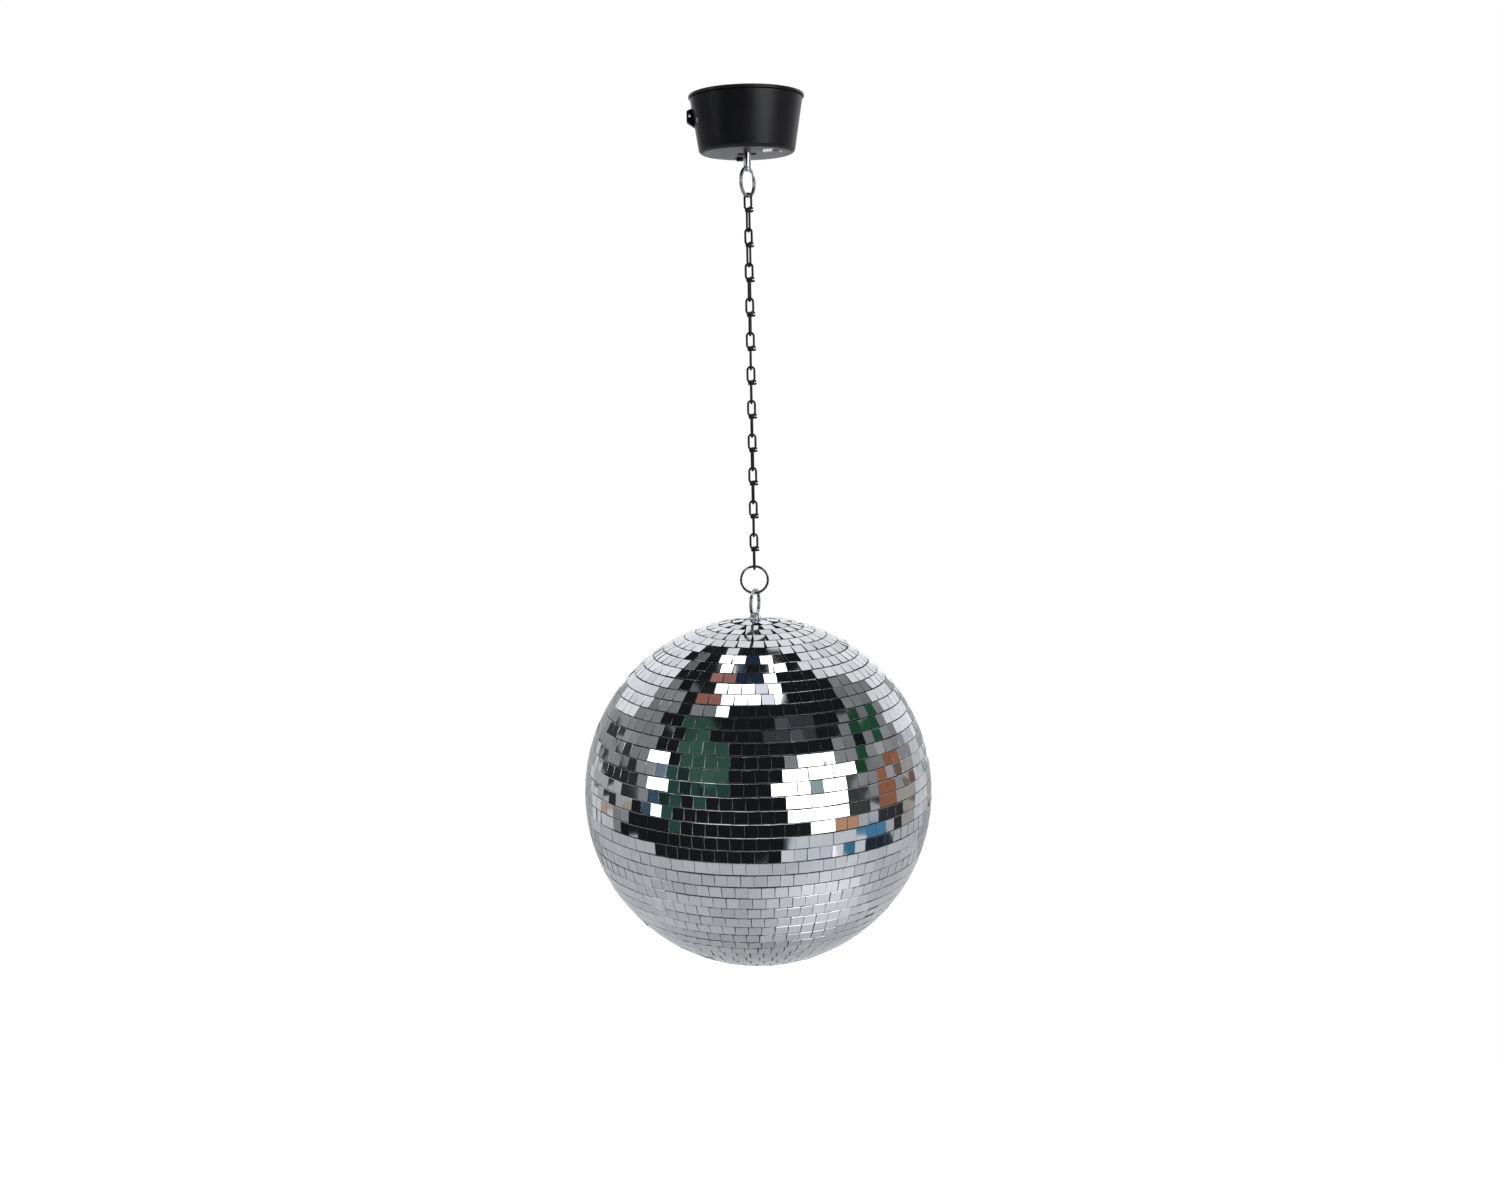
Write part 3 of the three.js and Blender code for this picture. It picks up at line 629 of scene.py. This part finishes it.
# ---- Lock screw ----
# A zinc plated steel machine screw with a pan head and a cross recess. It goes through the
# side of the housing into the ceiling plate's tongue and holds the two together.
def plated(name, tone, rough, scale=420.0, scratch=0.08):
    """Bright plated or ground metal with fine marks and faint clouding."""

    def paint(shader, place):
        cloud = shader.noise(place, 130.0, 4.0, 0.6)
        marks = shader.noise(place, scale * 6, 2.0, 0.7)
        darker = tuple(0.78 * part for part in tone)
        return {
            "Base Color": shader.mix(cloud, colour(*darker), colour(*tone)),
            "Roughness": cloud * 0.14 + marks * 0.06 + (rough - 0.1),
            "Normal": shader.bump(marks, scratch, 0.00003),
        }

    return surface(name, paint, Metallic=1.0)


zinc = plated("zinc_plate", (0.66, 0.68, 0.71), 0.26)
LOCK_LEVEL = 24 * MM
lock_wall = wall_radius(LOCK_LEVEL)
head_out = lock_wall + 1.2 * MM
lock_screw = turned(
    "lock_screw_pan",
    [
        (1.05 * MM, 36.5 * MM),
        (1.05 * MM, lock_wall + 0.25 * MM),
        (1.75 * MM, lock_wall + 0.3 * MM),
        (1.75 * MM, head_out - 0.5 * MM),
        (1.5 * MM, head_out - 0.15 * MM),
        (1.0 * MM, head_out),
        (0.1 * MM, head_out + 0.05 * MM),
    ],
    40,
)
for wide, long in ((0.5 * MM, 2.6 * MM), (2.6 * MM, 0.5 * MM)):
    combine(lock_screw, block("blade", (wide, long, 0.9 * MM), (0, 0, head_out)), "DIFFERENCE")
lock_screw.rotation_euler = (0, math.radians(90), math.radians(LOCK_BEARING))
lock_screw.location = (0, 0, up(LOCK_LEVEL))
bpy.ops.object.transform_apply(location=True, rotation=True)
dress(smooth(lock_screw), zinc, "motor_body", "zinc", "lock_screw")


# ---- Gear plate, bushes and gears ----
# Pressed steel plate on three screws, sintered bronze bushes, nylon wheels on a steel axle and
# a bronze pinion. The stock shapes stay; each gets the finish of its metal or plastic.
def finish_nodes(material, *nodes):
    for node in nodes:
        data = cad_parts[node].data
        data.materials.clear()
        data.materials.append(material)


steel = plated("bright_steel", (0.68, 0.68, 0.70), 0.2)
bronze = plated("sintered_bronze", (0.34, 0.22, 0.10), 0.42, 900.0, 0.3)
nylon = moulded(
    "natural_nylon", (0.62, 0.58, 0.48), (0.74, 0.70, 0.60), 500.0, rough=0.45, coat=0.2
)
finish_nodes(steel, "gear_plate", "gear_axle", "gear_pin", "shaft_circlip", "motor_can")
finish_nodes(bronze, "lower_bush", "plate_bush", "motor_pinion")
finish_nodes(nylon, "thrust_washer", "output_gear", "cluster_gear")
finish_nodes(zinc, "plate_screw_1", "plate_screw_2", "plate_screw_3", "contact_tab", "contact_link")


# ---- Gear motor, cells, board and leads ----
# The bought-in gear motor stands on the gear plate under the battery tray; the tray's two
# cells feed it through the switch by soft leads.
grey_plastic = moulded("grey_plastic", (0.055, 0.055, 0.060), (0.085, 0.085, 0.090))
black_sleeve = moulded(
    "black_sleeve", (0.010, 0.010, 0.011), (0.022, 0.022, 0.022), 300.0, rough=0.4, coat=0.3
)
red_sleeve = moulded(
    "red_sleeve", (0.30, 0.02, 0.015), (0.42, 0.035, 0.025), 300.0, rough=0.4, coat=0.3
)
finish_nodes(grey_plastic, "motor_gearbox", "battery_tray", "switch_body")
finish_nodes(black_sleeve, "lead_battery_switch", "lead_motor_battery", "lead_led")
finish_nodes(red_sleeve, "lead_switch_motor")


def board_paint(shader, place):
    cells = shader.add("ShaderNodeTexVoronoi", values={"Vector": place, "Scale": 700.0})
    tracks = cells < 0.28
    return {
        "Base Color": shader.mix(tracks, colour(0.015, 0.11, 0.04), colour(0.03, 0.19, 0.07)),
        "Roughness": tracks * 0.15 + 0.3,
        "Normal": shader.bump(cells, 0.2, 0.00008),
    }


finish_nodes(surface("green_board", board_paint), "led_board")


SLEEVE_HALF = 22.8 * MM  # the printed sleeve stops here and the cell's steel ends show


def cell_paint(shader, place):
    along = shader.add("ShaderNodeSeparateXYZ", values={"Vector": place}).math("ABSOLUTE")
    metal = along > SLEEVE_HALF
    wear = shader.noise(place, 160.0, 3.0)
    return {
        "Base Color": shader.mix(metal, colour(0.03, 0.10, 0.24), colour(0.62, 0.62, 0.63)),
        "Metallic": metal,
        "Roughness": wear * 0.2 + 0.2,
    }


finish_nodes(surface("cell_sleeve", cell_paint, Coat_Weight=0.3), "cell_1", "cell_2")


def wire_line(name, points, closed=False):
    """A curve of straight steps through the points, with nothing round it yet."""
    bpy.ops.object.select_all(action="DESELECT")
    bpy.ops.curve.primitive_nurbs_path_add()
    piece = bpy.context.object
    piece.name = name
    piece.data.splines.clear()
    spline = piece.data.splines.new("POLY")
    spline.points.add(len(points) - 1)
    for point, place in zip(spline.points, points):
        point.co = (*place, 1.0)
    spline.use_cyclic_u = closed
    return piece


def wire_mesh(piece):
    """The finished curve made a closed mesh."""
    piece.data.use_fill_caps = True
    bpy.ops.object.convert(target="MESH")
    piece = bpy.context.object
    bpy.ops.object.mode_set(mode="EDIT")
    bpy.ops.mesh.select_all(action="SELECT")
    bpy.ops.mesh.remove_doubles(threshold=1e-6)
    bpy.ops.mesh.normals_make_consistent(inside=False)
    bpy.ops.object.mode_set(mode="OBJECT")
    return piece


def bent_wire(name, points, radius, resolution=3):
    """Round wire along a line of points, with capped ends, as a mesh."""
    piece = wire_line(name, points)
    piece.data.dimensions = "3D"
    piece.data.bevel_depth = radius
    piece.data.bevel_resolution = resolution
    return wire_mesh(piece)


COIL_TURNS = 3.5
COIL_STEPS = 96
for number in (1, 2):
    node = f"contact_spring_{number}"
    low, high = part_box(node)
    middle = (low + high) / 2
    outward = 1 if middle.x > 0 else -1
    coil = []
    for step in range(COIL_STEPS + 1):
        share = step / COIL_STEPS
        reach = (4.3 - 2.2 * share) * MM
        angle = share * COIL_TURNS * 2 * math.pi
        offset = outward * (high.x - low.x - 0.8 * MM) * (0.5 - share)
        round_y, round_z = reach * math.cos(angle), reach * math.sin(angle)
        coil.append((middle.x + offset, middle.y + round_y, middle.z + round_z))
    spring = bent_wire(f"contact_coil_{number}", coil, 0.3 * MM, 2)
    dress(smooth(spring, 60), zinc, "motor_body", "zinc", node)


# ---- Switch knob ----
# The slide switch's moulded black cap, pushed onto the switch's stem. It stands out under the
# housing and has three grip grooves across it.
GROOVE_SIZE = (0.7 * MM, 4 * MM, 0.8 * MM)
GROOVE_PITCH = 1.5 * MM
knob = block("switch_cap", knob_high - knob_low, switch_middle, 0.3 * MM)
for step in (-1, 0, 1):
    place = (switch_middle.x + step * GROOVE_PITCH, switch_middle.y, knob_low.z)
    combine(knob, block("groove", GROOVE_SIZE, place, 0.1 * MM, segments=1), "DIFFERENCE")
dress(smooth(knob), black_plastic, "switch", "black_plastic", "switch_knob")


# ---- Lamps ----
# Two lamps cast in tinted clear resin, one dark red and one amber, both unlit. They are
# soldered to the board and show through holes in the underside.
def lens(name, deep, bright):
    def paint(shader, place):
        swirl = shader.noise(place, 420.0, 2.0)
        return {
            "Base Color": shader.mix(swirl, colour(*deep), colour(*bright)),
            "Roughness": swirl * 0.1 + 0.08,
        }

    return surface(name, paint, Coat_Weight=1.0, Coat_Roughness=0.03)


lenses = {
    "led_red": lens("red_lens", (0.05, 0.004, 0.004), (0.16, 0.012, 0.01)),
    "led_amber": lens("amber_lens", (0.62, 0.36, 0.14), (0.95, 0.78, 0.52)),
}
LENS_RADIUS = 1.85 * MM
FLANGE_RADIUS = 2.15 * MM
for node, place in lamp_places.items():
    low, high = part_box(node)
    dome = [(0.15 * MM, low.z)]
    for step in range(1, 9):
        turn = math.radians(step * 90 / 8)
        dome.append((LENS_RADIUS * math.sin(turn), low.z + 1.9 * MM * (1 - math.cos(turn))))
    dome += [
        (LENS_RADIUS, high.z - 1.2 * MM),
        (FLANGE_RADIUS, high.z - 1.1 * MM),
        (FLANGE_RADIUS, high.z),
    ]
    lamp = smooth(turned(f"{node}_dome", dome, 40, place))
    dress(lamp, lenses[node], "motor_body", node.replace("led_", "") + "_lens", node)


# ---- Output shaft ----
# 6 mm ground steel with a chamfered end and the 4 mm cross hole that the first split ring goes
# through.
UPPER_RING_YAW = 62
shaft_low, shaft_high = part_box("output_shaft")
SHAFT_RADIUS = 3 * MM
hole_level = up(-11 * MM)
shaft = turned(
    "output_shaft_ground",
    [
        (SHAFT_RADIUS - 0.7 * MM, shaft_low.z),
        (SHAFT_RADIUS - 0.2 * MM, shaft_low.z + 0.25 * MM),
        (SHAFT_RADIUS, shaft_low.z + 0.6 * MM),
        (SHAFT_RADIUS, shaft_high.z - 0.4 * MM),
        (SHAFT_RADIUS - 0.4 * MM, shaft_high.z),
    ],
    64,
)
RING_HOLE = 2.0 * MM
PIN_HOLE = 1.05 * MM
for radius, height, yaw in (
    (RING_HOLE, hole_level, UPPER_RING_YAW),
    (PIN_HOLE, up(12.3 * MM), 90),
):
    drill = turned("drill", [(radius, -6 * MM), (radius, 6 * MM)], 48)
    drill.rotation_euler = (0, math.radians(90), math.radians(yaw))
    drill.location = (0, 0, height)
    bpy.ops.object.transform_apply(location=True, rotation=True)
    combine(shaft, drill, "DIFFERENCE")
dress(smooth(shaft), steel, "turning_shaft", "steel", "output_shaft")


# ---- Split rings ----
# 25 mm key rings of flat nickel plated spring wire: two turns lie side by side and step over
# each other in a short jog.
RING_YAWS = {"upper_ring": UPPER_RING_YAW, "lower_ring": 0, "ball_ring": 72}
RING_STARTS = (0.9, 2.4, 5.3)  # how far round each ring's wire begins
RING_RADIUS = 12.5 * MM
BAND = 2.1 * MM
TURN_THICK = 1.12 * MM
TURN_GAP = 0.12 * MM
CORNER = 0.3 * MM
JOG = math.radians(34)
SWEEP = 2 * math.pi * 1.93
RING_STEPS = 150

corners = []
for corner_x, corner_y, start in ((1, 1, 0), (-1, 1, 90), (-1, -1, 180), (1, -1, 270)):
    for step in range(4):
        angle = math.radians(start + step * 30)
        x = corner_x * (BAND / 2 - CORNER) + CORNER * math.cos(angle)
        y = corner_y * (TURN_THICK / 2 - CORNER) + CORNER * math.sin(angle)
        corners.append((x, y, 0))
section = wire_line("ring_section", corners, closed=True)
section.data.dimensions = "2D"

RING_REACH = RING_RADIUS - BAND / 2
ring_line = []
for step in range(RING_STEPS + 1):
    angle = SWEEP * step / RING_STEPS
    share = min(1.0, max(0.0, (angle - SWEEP / 2 + JOG) / (2 * JOG)))
    side = (share * share * (3 - 2 * share) * 2 - 1) * (TURN_THICK + TURN_GAP) / 2
    ring_line.append((RING_REACH * math.cos(angle), RING_REACH * math.sin(angle), side))
ring_pattern = wire_line("ring_pattern", ring_line)
ring_pattern.data.dimensions = "3D"
ring_pattern.data.twist_mode = "Z_UP"
ring_pattern.data.bevel_mode = "OBJECT"
ring_pattern.data.bevel_object = section
ring_pattern = smooth(wire_mesh(ring_pattern), 40)
bpy.data.objects.remove(section)


def copy_of(pattern, name, place):
    """A copy with its own mesh, carried to its place."""
    piece = pattern.copy()
    piece.name = name
    piece.data = pattern.data.copy()
    piece.data.name = name
    piece.data.transform(place)
    bpy.context.collection.objects.link(piece)
    return piece


def turn_about(axis, degrees):
    return Matrix.Rotation(math.radians(degrees), 4, axis)


nickel = plated("nickel_spring_wire", (0.46, 0.47, 0.49), 0.22)
for (node, yaw), start in zip(RING_YAWS.items(), RING_STARTS):
    low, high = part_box(node)
    centre = Matrix.Translation((0, 0, (low.z + high.z) / 2))
    upright = turn_about("Z", yaw) @ turn_about("X", 90) @ Matrix.Rotation(start, 4, "Z")
    ring = copy_of(ring_pattern, f"{node}_spring_wire", centre @ upright)
    dress(ring, nickel, node, "ring_steel", node)
bpy.data.objects.remove(ring_pattern)


# ---- Chain ----
# Knotted double-loop chain: one length of black lacquered wire makes a loop, is wound round
# itself, and makes a second loop square to the first; the two cut ends stand out at the knot.
LINK_YAWS = (-22, -25, -14, -10, -2, 3, 7, 12, 9, 3, 5)
LINK_PITCH = 28 * MM
WIRE = 0.95 * MM
KNOT = -11.7 * MM
BEND = 2.9 * MM
NECK = 0.6 * MM
OVERLAP = 1.1 * MM  # how far a loop's wire reaches past the pitch line
WIND_RADIUS = 1.92 * MM
WIND_STEPS = 42


def lacquer_paint(shader, place):
    skin = shader.noise(place, 700.0, 3.0)
    worn = shader.noise(place, 260.0, 5.0, 0.65) > 0.66
    return {
        "Base Color": shader.mix(worn, colour(0.005, 0.005, 0.006), colour(0.03, 0.03, 0.033)),
        "Metallic": worn * 0.6,
        "Roughness": skin * 0.2 + 0.28,
        "Normal": shader.bump(skin, 0.25, 0.00008),
    }


black_wire = surface("black_wire", lacquer_paint, Specular_IOR_Level=0.3)


def loop_points(top, direction):
    """One loop from the knot and back: straight sides, a round end and a drawn-in neck."""
    end = top - direction * BEND
    foot = KNOT + direction * 0.2 * MM
    side = [(NECK, foot)]
    for step in range(1, 6):
        angle = math.radians(step * 18)
        lift = 3.0 * MM * (1 - math.cos(angle))
        side.append((NECK + (BEND - NECK) * math.sin(angle), foot + direction * lift))
    side.append((BEND, (side[-1][1] + end) / 2))
    side.append((BEND, end))
    arc = []
    for step in range(1, 12):
        angle = math.pi * step / 12
        arc.append((BEND * math.cos(angle), end + direction * BEND * math.sin(angle)))
    return side + arc + [(-x, z) for x, z in reversed(side)]


winding = [(3.9 * MM, 0.7 * MM, KNOT + 0.9 * MM), (3.0 * MM, -0.2 * MM, KNOT + 1.3 * MM)]
for step in range(WIND_STEPS + 1):
    angle = math.radians(-40 + step * 22)
    height = KNOT + (1.45 - 2.9 * step / WIND_STEPS) * MM
    winding.append((WIND_RADIUS * math.cos(angle), WIND_RADIUS * math.sin(angle), height))
winding += [(3.0 * MM, 1.2 * MM, KNOT - 1.4 * MM), (4.1 * MM, 0.1 * MM, KNOT - 1.1 * MM)]
upper_loop = [(x, 0, z) for x, z in loop_points(OVERLAP, 1)]
lower_loop = [(0, y, z) for y, z in loop_points(-LINK_PITCH - OVERLAP, -1)]
link_wires = [
    bent_wire("link_upper_loop", upper_loop, WIRE),
    bent_wire("link_lower_loop", lower_loop, WIRE),
    bent_wire("link_winding", winding, WIRE * 0.96),
]
bpy.ops.object.select_all(action="DESELECT")
for wire in link_wires:
    wire.select_set(True)
bpy.context.view_layer.objects.active = link_wires[0]
bpy.ops.object.join()
link_pattern = smooth(bpy.context.object, 50)

for number, yaw in enumerate(LINK_YAWS, 1):
    node = f"chain_link_{number}"
    low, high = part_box(node)
    top = Matrix.Translation((0, 0, (low.z + high.z) / 2 + LINK_PITCH / 2))
    link = copy_of(link_pattern, f"{node}_wire", top @ turn_about("Z", yaw))
    dress(link, black_wire, f"link_{number}", "black_wire", node)
bpy.data.objects.remove(link_pattern)


# ---- Ball shells ----
# Two half shells blown in dark plastic, joined over an inner ring; they show as the dark joints
# between the tiles.
SHELL_OUT = BALL_RADIUS - 2.0 * MM
SHELL_IN = SHELL_OUT - 2.6 * MM
POLE_HOLE = 6 * MM
SEAM = math.radians(90 - 0.06)  # each half stops just short of the other
SHELL_STEPS = 22


def half_shell(name, side):
    first = math.asin(POLE_HOLE / SHELL_OUT)
    outward = range(SHELL_STEPS + 1)
    profile = []
    for radius, order in ((SHELL_OUT, outward), (SHELL_IN, reversed(outward))):
        for step in order:
            angle = first + (SEAM - first) * step / SHELL_STEPS
            height = BALL_CENTRE.z + side * radius * math.cos(angle)
            profile.append((radius * math.sin(angle), height))
    return smooth(turned(name, [*profile, profile[0]], 96, solid=False), 30)


dark_shell = moulded(
    "dark_shell", (0.006, 0.0065, 0.007), (0.014, 0.015, 0.016), 260.0, rough=0.7, shine=0.2
)
dress(half_shell("upper_half_shell", 1), dark_shell, "ball", "grey_plastic", "upper_shell")
dress(half_shell("lower_half_shell", -1), dark_shell, "ball", "grey_plastic", "lower_shell")
finish_nodes(dark_shell, "joining_ring")
finish_nodes(zinc, "backing_plate", "eye_nut")


def level(height):
    """A height above the middle of the ball, in the frame."""
    return BALL_CENTRE.z + height * MM


plug = turned(
    "bottom_plug_moulding",
    [
        (0.3 * MM, level(-149.6)),
        (4.0 * MM, level(-149.55)),
        (6.6 * MM, level(-149.3)),
        (7.7 * MM, level(-148.95)),
        (8.0 * MM, level(-148.6)),
        (7.9 * MM, level(-148.3)),
        (5.3 * MM, level(-148.2)),
        (5.1 * MM, level(-143.0)),
        (4.7 * MM, level(-142.5)),
        (0.3 * MM, level(-142.5)),
    ],
    64,
)
dress(smooth(plug), dark_shell, "ball", "grey_plastic", "bottom_plug")


# ---- Mirror tiles ----
# 10 mm squares of 1.6 mm silvered glass in 45 rows from pole to pole, glued down by hand in
# short strips: no two rows line up, and each strip and tile leans its own fraction of a degree.
TILE = 10.06 * MM
TILE_TALL = 9.78 * MM  # pole to pole: the rows stand a little apart
GLASS = 1.6 * MM
EDGE = 0.08 * MM
SCORED_EDGE = 0.27 * MM  # the upper edge, where the glass was scored and snapped
ROWS = 45
ROW_STEP = 180 / ROWS
JOINT = 0.14 * MM  # least gap between neighbours in a row


def mirror_paint(shader, place):
    shade = shader.add("ShaderNodeAttribute", {"attribute_name": "shade"}, output="Fac")
    smear = shader.noise(place, 60.0, 5.0, 0.6)
    dust = shader.noise(place, 1500.0, 2.0, 0.7)
    clean = shader.mix(shade, colour(0.55, 0.565, 0.58), colour(0.76, 0.77, 0.78))
    return {
        "Base Color": shader.mix(dust * 0.25, clean, colour(0.52, 0.54, 0.57)),
        "Roughness": smear * 0.05 + dust * 0.03 - 0.01,
    }


def bevel_paint(shader, place):
    chips = shader.noise(place, 1200.0, 3.0)
    return {
        "Base Color": shader.mix(chips, colour(0.46, 0.48, 0.48), colour(0.80, 0.83, 0.83)),
        "Roughness": chips * 0.3 + 0.1,
    }


def cut_paint(shader, place):
    chips = shader.noise(place, 900.0, 3.0)
    return {
        "Base Color": shader.mix(chips, colour(0.01, 0.016, 0.015), colour(0.04, 0.055, 0.05)),
        "Roughness": chips * 0.3 + 0.2,
    }


mirror_glass = surface(
    "mirror_glass", mirror_paint, Metallic=1.0, Coat_Weight=0.5, Coat_Roughness=0.01
)
glass_bevel = surface("glass_bevel", bevel_paint, Metallic=0.9)
cut_glass = surface("cut_glass", cut_paint, Specular_IOR_Level=0.3)

tile = block("tile", (TILE_TALL, TILE, GLASS), (0, 0, -GLASS / 2))
bpy.ops.object.mode_set(mode="EDIT")
bpy.ops.mesh.select_all(action="DESELECT")
bpy.ops.object.mode_set(mode="OBJECT")
for edge in tile.data.edges:
    ends = [tile.data.vertices[i].co for i in edge.vertices]
    edge.select = min(end.z for end in ends) > -GLASS / 2
bpy.ops.object.mode_set(mode="EDIT")
bpy.ops.mesh.bevel(offset=EDGE, segments=1, affect="EDGES")
bpy.ops.object.mode_set(mode="OBJECT")
for corner in tile.data.vertices:
    if corner.co.x < 0 and corner.co.z > -0.01 * MM:
        corner.co.x += SCORED_EDGE - EDGE
    elif corner.co.x < 0 and corner.co.z > -GLASS / 2:
        corner.co.z -= SCORED_EDGE - EDGE
for finish in (mirror_glass, glass_bevel, cut_glass):
    tile.data.materials.append(finish)
for face in tile.data.polygons:
    face.material_index = 0 if face.normal.z > 0.99 else 1 if face.normal.z > 0.3 else 2
tile.data.attributes.new("shade", "FLOAT", "POINT")

POLE_SLIP = {2: -0.75, 3: 0.12}  # mm; row 2 is laid against the pole cup and leaves a dark ring
ROW_SLIP = 0.10  # mm; each row wanders up and down this much round the ball
ODD_TILES = 0.03  # share of tiles that stand at an angle of their own

chance = random.Random(31)


def lay_row(row, copies):
    down = math.radians((row - 0.5) * ROW_STEP)
    radius = BALL_RADIUS * math.sin(down)
    inner = radius - TILE / 2 * abs(math.cos(down))
    count = max(3, int(2 * math.pi * inner / (TILE + JOINT)))
    start = chance.uniform(0, 360)
    wander = chance.uniform(0, 6.28)
    strip_left = 0
    for place in range(count):
        if strip_left == 0:
            strip_left = chance.randint(4, 9)
            strip_lean = (chance.gauss(0, 0.8), chance.gauss(0, 0.7))
            strip_shade = chance.uniform(0.2, 0.8)
            strip_slip = chance.gauss(0, 0.12)
        strip_left -= 1
        bearing = start + 360 * place / count + chance.gauss(0, 0.04)
        slip = POLE_SLIP.get(row, 0.0) + strip_slip + chance.gauss(0, 0.05)
        slip += ROW_SLIP * math.sin(wander + 3 * math.radians(bearing))
        lean = (strip_lean[0] + chance.gauss(0, 0.5), strip_lean[1] + chance.gauss(0, 0.5))
        if chance.random() < ODD_TILES:
            lean = (chance.gauss(0, 3), chance.gauss(0, 3))
        shade = min(1.0, max(0.0, strip_shade + chance.gauss(0, 0.12)))
        turn = turn_about("Z", bearing) @ Matrix.Rotation(down, 4, "Y")
        seat = Matrix.Translation((slip * MM, 0, BALL_RADIUS))
        tilt = turn_about("X", lean[0]) @ turn_about("Y", lean[1])
        spin = turn_about("Z", chance.gauss(0, 0.5))
        laid = Matrix.Translation(BALL_CENTRE) @ turn @ seat @ tilt @ spin
        copy = copy_of(tile, "tile", laid)
        values = [shade] * len(copy.data.vertices)
        copy.data.attributes["shade"].data.foreach_set("value", values)
        copies.append(copy)


for name, node, rows in (
    ("upper_tiles", "upper_mirrors", range(2, 23)),
    ("lower_tiles", "lower_mirrors", range(23, ROWS)),
):
    copies = []
    for row in rows:
        lay_row(row, copies)
    bpy.ops.object.select_all(action="DESELECT")
    for copy in copies:
        copy.select_set(True)
    bpy.context.view_layer.objects.active = copies[0]
    bpy.ops.object.join()
    coat = bpy.context.object
    coat.name = name
    coat.data.name = name
    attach(coat, "ball")
    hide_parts(node)
bpy.data.objects.remove(tile)


# ---- Eye and pole cup ----
# A small closed zinc eye on a threaded shank goes through the cup washer, the shell and the
# backing plate inside.
EYE_YAW = -18
eye_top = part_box("eye_bolt")[1].z
EYE_WIRE = 1.15 * MM
EYE_MIDDLE = 3.55 * MM
bpy.ops.object.select_all(action="DESELECT")
bpy.ops.mesh.primitive_torus_add(
    major_radius=EYE_MIDDLE,
    minor_radius=EYE_WIRE,
    major_segments=48,
    minor_segments=16,
    location=(0, 0, eye_top - EYE_MIDDLE - EYE_WIRE),
    rotation=(math.radians(90), 0, math.radians(EYE_YAW)),
)
eye = bpy.context.object
eye.name = "eye_bolt_forged"
bpy.ops.object.transform_apply(location=True, rotation=True)
CREST = 2.4 * MM
ROOT = 2.05 * MM
THREAD_PITCH = 0.8
thread = [(2.0 * MM, level(135.5)), (2.35 * MM, level(135.9))]
for ridge in range(15):
    height = 136.3 + ridge * THREAD_PITCH
    thread += [(CREST, level(height)), (ROOT, level(height + THREAD_PITCH / 2))]
thread += [
    (CREST, level(148.4)),
    (3.6 * MM, level(148.6)),
    (3.6 * MM, level(149.5)),
    (2.2 * MM, level(149.9)),
    (1.7 * MM, level(150.6)),
]
combine(eye, turned("shank", thread, 40), "UNION")
dress(smooth(eye), zinc, "ball", "zinc", "eye_bolt")

cup = turned(
    "pole_cup",
    [
        (2.8 * MM, level(145.9)),
        (5.5 * MM, level(145.9)),
        (5.5 * MM, level(148.2)),
        (9.3 * MM, level(148.1)),
        (9.8 * MM, level(148.3)),
        (9.8 * MM, level(148.7)),
        (9.4 * MM, level(149.1)),
        (6.4 * MM, level(149.4)),
        (5.2 * MM, level(149.5)),
        (4.8 * MM, level(149.2)),
        (4.8 * MM, level(147.1)),
        (2.8 * MM, level(147.0)),
        (2.8 * MM, level(145.9)),
    ],
    64,
    solid=False,
)
dress(smooth(cup), zinc, "ball", "zinc", "pole_cap")
